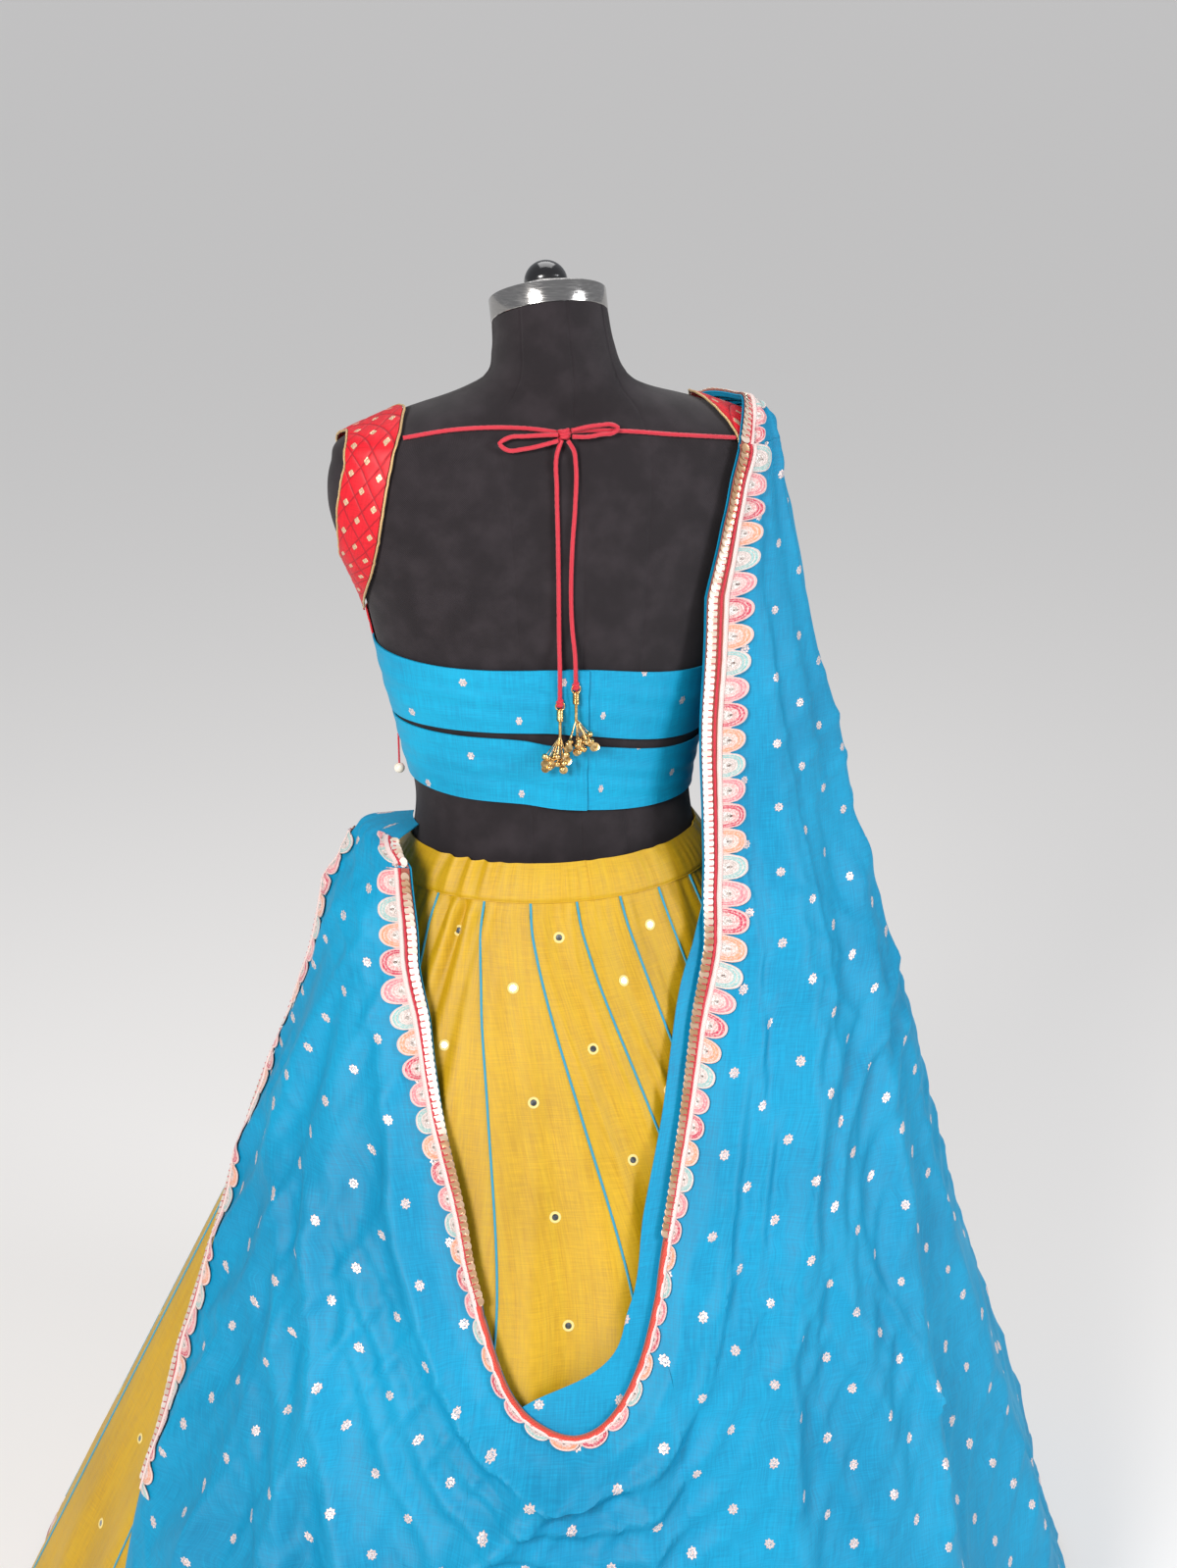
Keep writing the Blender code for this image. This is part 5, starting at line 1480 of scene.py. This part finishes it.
def seam_angle(k, z):
    """Angle of a seam at a height: the scarf pulls the back seams toward +X below the waist."""
    seams = kali_seams()
    waist = seams[k % KALI_COUNT] + 360 * (k // KALI_COUNT)
    even = seams[0] + k * 360.0 / KALI_COUNT
    down = np.clip((0.90 - z) / 0.90, 0, 1)
    aside = (waist + 20.0 + 180) % 360 - 180
    pull = 25.0 * math.exp(-((aside / (42.0 if aside < 0 else 38.0)) ** 2))
    drawn = through(down, (0, 0.18, 0.36, 0.60, 1.0), (0, 0.62, 0.95, 0.75, 0.30))
    return waist * (1 - down**1.5) + even * down**1.5 + pull * drawn


def gathers(theta, z):
    """Small pleats under the waistband; a bunch of deep ones left of the middle."""
    below = np.clip(WAIST_Z - BAND_HEIGHT - z, 0, 1)
    turn = (theta + 180) % 360 - 180
    bunch = np.exp(-(((turn + BUNCH_AT) / 12.0) ** 2))
    small = 0.0007 * np.exp(-below / 0.030) * (np.sin(theta * 1.15 + 2 * np.sin(theta * 0.11)) - 0.6)
    long = 0.0018 * np.exp(-below / 0.10) * (1 - np.exp(-below / 0.02)) * np.sin(theta * 0.52 + below * 4)
    deep = 0.0050 * bunch * np.exp(-below / 0.09) * np.sin(theta * 0.9 + below * 9)
    calm = 1 - 0.75 * np.exp(-(((turn + 24) / 13.0) ** 2))
    return (small + long) * calm * np.clip(below / 0.004, 0, 1) + deep * np.clip(below / 0.01, 0, 1)


def kali_points(k, columns, rows):
    heights = WAIST_Z - BAND_HEIGHT - (WAIST_Z - BAND_HEIGHT - HEM_Z) * np.linspace(1, 0, rows)
    gap = np.degrees(SEAM_GAP / 2 / skirt_radius(0, heights)) * 1.6
    left = seam_angle(k, heights) + gap
    right = seam_angle(k + 1, heights) - gap
    share = np.linspace(0, 1, columns)[None, :]
    angles = left[:, None] * (1 - share) + right[:, None] * share
    z = heights[:, None] + 0 * angles
    down = 1 - z / 0.9
    wave = (0.001 + 0.018 * down) * (np.cos(2 * math.pi * share) - 1) * 0.5
    broad = 0.006 * down * np.sin(np.radians(angles * 7 + 40))
    turn = (1.5 * share - 0.12 / np.clip(down + 0.1, 0.1, 1)) + 0.37 * k + 1.4 * z
    turn = turn + 0.25 * np.sin(z * 13 + k)
    soft = (0.0085 * crisp(turn, 0.2) * np.sin(np.pi * share) * (0.6 + 0.4 * np.sin(z * 12 + 2.1 * k))
            * np.clip(down * 6, 0, 1))
    points = place(angles, skirt_radius(angles, z) + wave + broad + gathers(angles, z) + soft, z)
    half = np.radians(right - left)[:, None] * skirt_radius(0, z)
    uv = np.stack([(share - 0.5) * half + k * 0.35, z * SLANT], axis=-1)
    return points, uv


def skirt_panels():
    """The kalis, with a finer grid for those that the camera sees."""
    seen = {0, 1, 2, 3, 4, 5, 6, 18, 19}
    grids = []
    for k in range(KALI_COUNT):
        points, uv = kali_points(k, *((40, 150) if k in seen else (26, 80)))
        number = "%02d" % (k + 1)
        panel = dress(cloth("skirt_panel_" + number, points, uv, CLOTH), MUSTARD,
                      ["kali_" + number])
        declare(points)
        grids.append(points)
    return grids


kali_grids = skirt_panels()
print("kalis:", len(kali_grids))

# %% [markdown]
# The waistband is a ring of the same silk, drawn in by a cord inside it, so it puckers.

# %% Waistband
WAIST_UV_RADIUS = 0.15


def waistband_points():
    angles = np.linspace(0, 360, 721)
    turn = (angles + 180) % 360 - 180
    bunch = np.exp(-(((turn + BUNCH_AT) / 12.0) ** 2))
    flat = 1 - 0.8 * np.exp(-(((turn + 24) / 14.0) ** 2))
    share = np.linspace(0, 1, 26)[:, None]
    heights = WAIST_Z - BAND_HEIGHT + SEAM_GAP + (BAND_HEIGHT - SEAM_GAP) * share
    flare = through(share, (0, 0.47, 1), (0.0023, 0.0009, -0.0010))
    swell = 0.0016 * np.sin(math.pi * share)
    pucker = 0.0006 * np.sin(angles * 0.42 + 1.8 * np.sin(angles * 0.17)) * flat
    fine = 0.0002 * np.sin(angles * 1.3 + 2.4 * np.sin(angles * 0.23)) * flat
    deep = 0.0030 * bunch * np.sin(angles * 0.8)
    ripple = (pucker + deep)[None, :] * (0.25 + 0.75 * share) + fine[None, :] * np.sin(math.pi * share)
    dip = -0.0014 * np.exp(-(((share - 0.03) / 0.05) ** 2))
    radius = skirt_radius(angles[None, :], heights) + flare + swell + ripple + dip
    around = angles[None, :] + 0 * heights
    uv = np.stack([np.radians(around) * WAIST_UV_RADIUS, heights + 0 * around], axis=-1)
    return place(around, radius, heights), uv


points, uv = waistband_points()
waist = dress(cloth("gathered_waistband", points, uv, CLOTH, closed=True), MUSTARD,
              ["waistband"])
declare(points)

# %% [markdown]
# The piping of a seam is a covered cord, caught in the seam between two kalis. It starts right
# under the waistband and follows the first column of its kali's grid.

# %% Turquoise piping in the skirt's seams
def seam_pipings():
    tubes = []
    for k, points in enumerate(kali_grids):
        near = points[:, 0] + normals_of(points)[:, 0] * (CLOTH + 0.0002)
        line = evenly(near[:0:-1][::4][::-1], 0.006)
        tubes.append(dress(cord("seam_piping_%02d" % (k + 1), line, 0.0013, 8, 1, 0.004),
                           TURQUOISE_THREAD))
    return tubes


print("seam pipings:", len(seam_pipings()))

# %% [markdown]
# Small mirrors are sewn on in a half drop, each held by a ring of yellow thread. One mirror and
# one ring are modelled, then copied to every place on the panels.

# %% Mirrors with their rings of thread
MIRROR_DROP = 0.105
MIRROR_STEP = 0.088


def mirror_places():
    spots, across, upward = [], [], []
    for k, points in enumerate(kali_grids):
        normal = normals_of(points)
        rows, cols = points.shape[:2]
        for side in (-1, 0, 1):
            start = 0.03 + 0.5 * MIRROR_DROP * ((k + side) % 2)
            for z in np.arange(start, 0.90, MIRROR_DROP / SLANT):
                i = int(np.clip((z - HEM_Z) / (WAIST_Z - BAND_HEIGHT - HEM_Z) * (rows - 1), 1, rows - 2))
                wide = lengths(points[i])[-1]
                share = 0.5 + side * MIRROR_STEP / wide
                if not 0.12 < share < 0.88:
                    continue
                j = int(round(share * (cols - 1)))
                spots.append(points[i, j] + normal[i, j] * (CLOTH + 0.0003))
                across.append(points[i, j + 1] - points[i, j - 1])
                upward.append(points[i + 1, j] - points[i - 1, j])
    return np.array(spots), np.array(across), np.array(upward)


def mirrors():
    spots, across, upward = mirror_places()
    ring = add(bpy.ops.mesh.primitive_torus_add, major_segments=14, minor_segments=5,
               major_radius=0.0043, minor_radius=0.0013)
    for corner in ring.data.vertices:
        corner.co.z *= 0.6
    dress(copies("mirror_rings", ring, spots, across, upward), YELLOW_THREAD)
    disc = add(bpy.ops.mesh.primitive_cylinder_add, vertices=10, radius=0.0030, depth=0.0006)
    dress(copies("mirror_discs", disc, spots, across, upward), MIRROR)
    return len(spots)


print("mirrors:", mirrors())

# %% [markdown]
# ## The scarf
# The dupatta is one long piece of crepe. It is tucked in at the left of the waist, hangs down in
# a U across the back, rises to the right shoulder and falls over it to the front. It is made
# as stretches that meet, each a grid between the edges in the tables, and every grid reads
# its radius from the same surface, so the folds run on from one stretch to the next.

# %% Stretches of the scarf
SCARF_HEM = 0.014
TUCK_OVER_END = -74.0
TUCK_END = -85.0
TUCK_ROWS = 15


def scarf_uv(theta, z):
    """Place on the flat scarf: across from the laced edge of the U, and along."""
    laced = column(LEFT, z, 2)
    inner = np.where(theta > 0, np.maximum(column(FALL, z, 1), U_RIGHT), laced)
    inner = np.where(z < U_SIDE, np.where(theta > U_LEFT, U_LEFT, laced), inner)
    shift = np.where((z >= U_SIDE) & (theta > 0), np.radians(28.7) * hang_radius(60.0, U_SIDE), 0.0)
    east = np.radians(theta - inner) * hang_radius(60.0, z) + shift
    return np.stack([east, z * SLANT + 0 * east], axis=-1)


def along_rows(grid):
    """Distance along each row of a grid from its first point."""
    steps = np.linalg.norm(np.diff(grid, axis=1), axis=-1)
    return np.concatenate([np.zeros((len(grid), 1)), np.cumsum(steps, axis=1)], axis=1)


def left_points(columns, rows):
    share = np.linspace(0, 1, columns)
    heights = np.linspace(SCARF_HEM, WAIST_Z, rows)
    far = column(LEFT, heights, 1)
    laced = column(LEFT, heights, 2) - np.where(heights < 0.58, 0.01, 0)
    angles = far[:, None] * (1 - share) + laced[:, None] * share
    z = heights[:, None] + 0 * angles
    radius = drape_radius(angles, z) + fold_lift(angles, z) * np.clip(share / 0.1, 0, 1)
    grid = place(angles, radius, z)
    over_angles = np.linspace(far[-1], TUCK_OVER_END, columns)
    over = place(over_angles, drape_radius(over_angles, 0.955) - 0.012, 0.9575)
    tucked_angles = np.linspace(far[-1], TUCK_END, columns)
    tucked = place(tucked_angles, body_radius(tucked_angles, 0.9600) + 0.0016, 0.9600)
    pleats = 0.0022 * np.sin(share * 2 * np.pi * 5)[:, None] * direction(-80)
    turn = through(np.linspace(0, 1, TUCK_ROWS)[1:], (-0.6, 0, 0.55, 1),
                   np.array([grid[-6], grid[-1], over + pleats, tucked]))
    points = np.concatenate([grid, turn])
    uv = scarf_uv(angles, z)
    uv[..., 0] = uv[:, -1:, 0] - along_rows(grid[:, ::-1])[:, ::-1]
    more = uv[-1] + np.array([0, 1])[None, :] * np.linspace(0, 0.05, TUCK_ROWS)[1:, None, None]
    return points, np.concatenate([uv, more])


def swag_points(columns, rows):
    angles = np.linspace(U_LEFT, U_RIGHT, columns)[None, :]
    top = column(U_BOTTOM, angles, 1)
    z = SCARF_HEM + (top - SCARF_HEM) * (np.linspace(0, 1, rows) ** 0.9)[:, None]
    angles = angles + 0 * z
    return place(angles, drape_radius(angles, z) + fold_lift(angles, z), z), scarf_uv(angles, z)


def fall_points(columns, rows):
    heights = np.linspace(SCARF_HEM, FALL_TOP, rows)
    share = np.linspace(0, 1, columns)
    laced = np.maximum(column(FALL, heights, 1), U_RIGHT) + np.where(heights < 0.59, 0.01, 0)
    far = column(FALL, heights, 2)
    angles = laced[:, None] * (1 - share) + far[:, None] * share
    z = heights[:, None] + 0 * angles
    upper = np.clip((z - 0.86) / 0.25, 0, 1)
    pleats = 0.0022 * upper * np.sin(share * 2 * np.pi * 6.5 + z * 3) * np.clip(share / 0.16, 0, 1)
    grid = place(angles, drape_radius(angles, z) + fold_lift(angles, z) + pleats, z)
    uv = scarf_uv(angles, z)
    uv[..., 0] = uv[:, :1, 0] + along_rows(grid)
    return grid, uv


def shoulder_points(last_row, rows):
    share = np.linspace(0, 1, len(last_row))
    arch = ((80.0, 1.3490, 91.0, 1.3310, 0.0130), (90.0, 1.3515, 94.0, 1.3380, 0.0104),
            (103.0, 1.3490, 97.5, 1.3350, 0.0098), (112.0, 1.3350, 100.0, 1.3200, 0.0098))
    pleats = 0.0016 * (1 + np.cos(2 * math.pi * 4 * share))
    cage = [last_row + np.array([0, 0, SEAM_GAP / 2])]
    for neck_angle, neck_z, arm_angle, arm_z, lift in arch:
        cage.append(on_body(neck_angle * (1 - share) + arm_angle * share,
                            neck_z * (1 - share) + arm_z * share, lift + pleats))
    return through(np.linspace(0, 4, rows), np.arange(5), np.array(cage))


def front_points(first_row, rows):
    heights = np.array([0.56, 0.64, 0.72, 0.80, 0.88, 0.96, 1.04, 1.12, 1.19, 1.25, 1.30])
    outer = through(heights, (0.56, 0.90, 1.10, 1.25, 1.30), (122, 119, 113, 104, 101.5))
    inner = through(heights, (0.56, 0.90, 1.10, 1.25, 1.30), (150, 150, 145, 128, 118))
    share = np.linspace(0, 1, len(first_row))
    angles = inner[:, None] * (1 - share) + outer[:, None] * share
    pleats = 0.003 * (1 + np.cos(2 * math.pi * 4 * share)) + 0.0008 * np.sin(share * 57)
    cage = place(angles, hang_radius(angles, heights[:, None]) + 0.004 + pleats, heights[:, None])
    cage = np.concatenate([cage, (first_row - np.array([0, 0, 2 * SEAM_GAP]))[None]])
    return through(np.linspace(0, 11, rows), np.arange(12), cage)


def under_points(columns, rows):
    heights = np.linspace(0.455, 0.905, rows)
    share = np.linspace(0, 1, columns)
    left, right = (column(UNDER, heights, which)[:, None] for which in (1, 2))
    angles = left * (1 - share) + right * share
    z = heights[:, None] + 0 * angles
    return place(angles, hang_radius(angles, z) - 0.0021, z), scarf_uv(angles, z)


def even_uv(points):
    """Place on the flat cloth from the lengths of the middle row and the middle line."""
    across = lengths(points[len(points) // 2])
    along = lengths(points[:, points.shape[1] // 2])
    return np.stack(np.broadcast_arrays(across[None, :], along[:, None]), axis=-1)


def scarf_piece(name, points, uv):
    made = dress(cloth(name.replace("dupatta", "scarf"), points, uv, SILK), CREPE, [name])
    declare(points)


LEFT_ROWS = 230
left_grid, left_uv = left_points(120, LEFT_ROWS)
swag_grid, swag_uv = swag_points(90, 130)
fall_grid, fall_uv = fall_points(150, 280)
shoulder_grid = shoulder_points(fall_grid[-1], 60)
front_grid = front_points(shoulder_grid[-1], 150)
under_grid, under_uv = under_points(14, 150)
scarf_piece("dupatta_left", left_grid, left_uv)
scarf_piece("dupatta_swag", swag_grid, swag_uv)
scarf_piece("dupatta_fall", fall_grid, fall_uv)
scarf_piece("dupatta_shoulder", shoulder_grid, even_uv(shoulder_grid))
scarf_piece("dupatta_front", front_grid[:, ::-1], even_uv(front_grid)[:, ::-1])
scarf_piece("dupatta_under_fold", under_grid, under_uv)

# %% [markdown]
# ## Sewing the lace on
# Lines run from the edge of the cloth inward, square to it. A place in the lace is then a
# distance along the edge and a distance inward, and both become a point on the cloth. The strip's
# inner border follows the tongues, and the relief of the rings is raised in the mesh.

# %% Lines from an edge into the cloth, and the strip along them
LACE = 0.0009
LACE_WIDTH = 0.035
LACE_LIFT = SILK + 0.0018
EDGE_MARGIN = 0.0006
EDGE_CORD_LIFT = 0.0012
SEQUIN_LINE = 0.0046
SEQUIN_PITCH = 0.0064
LINE_COUNT = 8
LINE_REACH = LACE_WIDTH * 1.1


def u_lines(edge, lift):
    radius = hang_radius(edge[:, 0], edge[:, 1])
    east = np.gradient(np.radians(edge[:, 0])) * radius
    north = np.gradient(edge[:, 1]) * SLANT
    for values in (east, north):
        for _ in range(12):
            values[1:-1] = (values[:-2] + values[1:-1] + values[2:]) / 3
    length = np.hypot(east, north)
    inward = np.linspace(0, LINE_REACH, LINE_COUNT)
    theta = edge[:, 0, None] + np.degrees(north / length / radius)[:, None] * inward
    z = edge[:, 1, None] - (east / length / SLANT)[:, None] * inward
    return on_drape(theta, z, lift)[::-1]


def grid_lines(points, lift):
    """Lines inward from the first column of a grid, for the lace on that edge."""
    raised = points + normals_of(points) * lift
    lines = [through(np.linspace(0, LINE_REACH, LINE_COUNT), lengths(row), row) for row in raised]
    return np.array(lines)


def on_lines(lines, along, inward):
    """Points at distances along the edge (one per column) and inward from it (rows and columns)."""
    reached = lengths(lines[:, 0])
    rows = np.array([[np.interp(along, reached, lines[:, k, axis]) for axis in range(3)]
                     for k in range(lines.shape[1])]).transpose(0, 2, 1)
    at = np.clip(inward / LINE_REACH * (LINE_COUNT - 1), 0, LINE_COUNT - 1.001)
    low = at.astype(int)
    share = (at - low)[..., None]
    across = np.arange(len(along))[None, :] + 0 * low
    return rows[low, across] * (1 - share) + rows[low + 1, across] * share


def tongue(along):
    """Length of the scallop at a distance along, from 0 between two scallops to 1."""
    x = np.abs((along / SCALLOP_PITCH) % 1 - 0.5) * SCALLOP_PITCH
    return np.clip(1 - (x / TONGUE_HALF) ** TONGUE_POWER, 0, 1) ** (1 / TONGUE_POWER)


def lace_strip(name, lines, start, end, scale, replaced=(), step=0.00125, rows=24):
    """Lace between two distances along the edge; scale(along) narrows it where it turns on edge."""
    along = np.linspace(start, end, max(8, int((end - start) / step)))
    depth = TONGUE_START + TONGUE_LONG * tongue(along)
    inward = EDGE_MARGIN + (depth - EDGE_MARGIN) * np.linspace(0, 1, rows)[:, None]
    points = on_lines(lines, along, inward * scale(along))
    x = ((along / SCALLOP_PITCH) % 1 - 0.5) * SCALLOP_PITCH
    y = np.clip(inward - TONGUE_START, 0, 1)
    reach = tongue_reach(np.abs(x), y)
    rings = 0.0005 * (0.5 - 0.5 * np.cos(np.clip(reach, 0, 1) * 2 * math.pi * 4))
    rings *= inward > TONGUE_START
    rings += 0.0006 * np.exp(-(((inward - 0.0150) / 0.0020) ** 2))
    points = points + normals_of(points) * rings[..., None]
    uv = np.stack([along[None, :] + 0 * inward, inward], axis=-1)
    return dress(cloth(name, points, uv, LACE), LACE_THREAD, replaced), points


def edge_cord(name, lines, start, end, inward, radius, finish, scale, strands, lay, flat=0.6):
    """Braid or cord sewn along the lace, a distance inward from the edge."""
    along = np.linspace(start, end, max(8, int((end - start) / 0.0028)))
    rows = on_lines(lines, along, np.array([[inward], [inward + 0.002]]) * scale(along))
    tangent = np.gradient(rows[0], axis=0)
    normal = np.cross(tangent, rows[1] - rows[0])
    normal /= np.linalg.norm(normal, axis=1, keepdims=True)
    made = cord(name, rows[0] + normal * EDGE_CORD_LIFT, radius, 10, strands, lay, flat, normal)
    return dress(made, finish)


def red_line_and_braid(red_name, pale_name, lines, end, scale):
    """The red cord inside the sequins and the pale braid at the foot of the scallops."""
    edge_cord(red_name, lines, 0.0, end, 0.0108, 0.0015, RED_THREAD, scale, 2, 0.006, 0.9)
    edge_cord(pale_name, lines, 0.0, end, 0.0146, 0.0028, PINK_BRAID, scale, 2, 0.005)


def sequin_disc():
    disc = add(bpy.ops.mesh.primitive_cylinder_add, vertices=12, radius=0.0050, depth=0.0004)
    pick(disc, lambda centre, normal: normal.z > 0.9)
    bpy.ops.mesh.inset(thickness=0.0012, depth=-0.0003)
    bpy.ops.object.mode_set(mode="OBJECT")
    return disc


def sequins(name, lines, start, end, scale, warm, seed):
    """A row of flat sequins, each lapped over the next; warm(along) tells the brassy ones."""
    along = np.arange(start + 0.004, end - 0.003, SEQUIN_PITCH)
    rows = on_lines(lines, along, np.array([[SEQUIN_LINE], [SEQUIN_LINE + 0.002]]) * scale(along))
    run = np.gradient(rows[0], axis=0)
    run /= np.linalg.norm(run, axis=1, keepdims=True)
    inward = rows[1] - rows[0]
    normal = np.cross(run, inward)
    normal /= np.linalg.norm(normal, axis=1, keepdims=True)
    draw = np.random.default_rng(seed)
    lean = np.radians(draw.uniform(7, 12, len(along)))[:, None]
    across = run * np.cos(lean) + normal * np.sin(lean)
    uvs = np.stack([draw.random(len(along)), warm(along) + draw.uniform(-0.15, 0.15, len(along))], -1)
    uvs[:, 1] = np.clip(uvs[:, 1], 0, 1)
    made = copies(name, sequin_disc(), rows[0] + normal * 0.0020, across, inward, uvs)
    between = (rows[1][:-1] + rows[1][1:]) / 2 + normal[:-1] * 0.0029
    tick = settle(add(bpy.ops.mesh.primitive_cylinder_add, vertices=6, radius=0.00055, depth=0.0044,
                      rotation=(math.pi / 2, 0, 0)))
    dress(copies(name + "_stitches", tick, between, run[:-1], inward[:-1]), RED_THREAD)
    return dress(made, SEQUIN)


def full(along):
    return np.ones_like(along)


print("scallops in a metre:", round(1 / SCALLOP_PITCH))

# %% [markdown]
# The U takes one run of lace from the shoulder to the waist. Low on the right the strip turns on
# edge and looks narrow, and at the bottom a thick red braid shows in place of the sequins.

# %% Lace of the U
U_STEPS = 130
u_parts = u_edge(U_STEPS)
U_LINES = u_lines(np.concatenate([u_parts[0], u_parts[1][1:], u_parts[2][1:]]), LACE_LIFT)
U_LONG = float(lengths(U_LINES[:, 0])[-1])
U_AT = [float(lengths(U_LINES[:, 0])[k]) for k in (U_STEPS - 1, 2 * U_STEPS - 2)]


def u_scale(along):
    """Width of the lace as a share of its full width."""
    return np.interp(along, (0, U_AT[0] - 0.42, U_AT[0] - 0.16, U_AT[0] - 0.02, U_AT[1] - 0.02,
                             U_AT[1] + 0.14, U_AT[1] + 0.30, U_LONG),
                     (1.0, 0.80, 0.54, 0.37, 0.37, 0.62, 0.92, 1.0))


def u_warm(along):
    """Where the sequins are brassy, 1, and where pale, 0."""
    return np.interp(along, (0, 0.08, 0.12, 0.20, 0.24, 0.44, 0.48, U_AT[1] + 0.16, U_AT[1] + 0.18,
                             U_LONG - 0.06, U_LONG - 0.03, U_LONG),
                     (1.0, 0.9, 0.4, 0.35, 0.0, 0.0, 0.95, 0.95, 0.0, 0.0, 0.9, 0.9))


for word, start, end, on in (("right", 0.0, U_AT[0], "dupatta_fall"),
                             ("bottom", U_AT[0], U_AT[1], "dupatta_swag"),
                             ("left", U_AT[1], U_LONG, "dupatta_left")):
    made, strip = lace_strip("lace_" + word, U_LINES, start, end, u_scale, ["lace_u_" + word])
    declare(strip)
BRAID_START, BRAID_END = U_AT[0] - 0.05, U_AT[1] + 0.01
sequins("sequins_right", U_LINES, 0.0, BRAID_START, u_scale, u_warm, 3)
sequins("sequins_left", U_LINES, BRAID_END, U_LONG, u_scale, u_warm, 4)
red_line_and_braid("red_piping_u", "pale_braid_u", U_LINES, U_LONG, u_scale)
edge_cord("thick_braid_u", U_LINES, BRAID_START, BRAID_END, 0.0045, 0.0029, RED_BRAID, full, 3, 0.010)
print("laced edge of the U: %.2f m" % U_LONG)

# %% [markdown]
# The same lace runs over the shoulder and down the front, along the short end on the left, over
# the tuck at the waist and round the hem of the skirt. The hem is long and seen from afar, so
# its mesh is coarser.

# %% Lace of the hem, the shoulder, the front, the tuck and the short end
def trimmed(name, lines, replaced=(), seed=5, step=0.00125, rows=24):
    long = float(lengths(lines[:, 0])[-1])
    made, strip = lace_strip(name, lines, 0.0, long, full, replaced, step, rows)
    declare(strip)
    red_line_and_braid(name + "_red_piping", name + "_pale_braid", lines, long, full)
    sequins(name + "_sequins", lines, 0.0, long, full, lambda along: 0.4 + 0 * along, seed)


LACE_END_Z = 0.33


def hem_lines():
    """Lines up from the hem of the skirt, all the way round."""
    lines = []
    for points in kali_grids:
        raised = (points + normals_of(points) * (CLOTH + 0.0006))[:14, 1:-1:2]
        lines += [through(np.linspace(0, LINE_REACH, LINE_COUNT), lengths(line), line)
                  for line in raised.transpose(1, 0, 2)]
    return np.array(lines + lines[:1])[::-1]


trimmed("lace_hem", hem_lines(), ["hem_lace"], 8, 0.0022, 14)
trimmed("lace_shoulder", grid_lines(shoulder_grid, LACE_LIFT)[::-1][2:])
trimmed("lace_front", grid_lines(front_grid, -LACE_LIFT)[:-2], (), 6)
trimmed("lace_tuck", grid_lines(left_grid[:, ::-1], -LACE_LIFT)[LEFT_ROWS - 1:238], (), 9)
low = int(np.argmin(np.abs(left_grid[:, 0, 2] - LACE_END_Z)))
short_end = grid_lines(left_grid, LACE_LIFT)[low:LEFT_ROWS][::-1]
trimmed("lace_end", short_end, ["lace_short_end"], 7)
print("lowest lace of the short end at %.2f m" % left_grid[low, 0, 2])
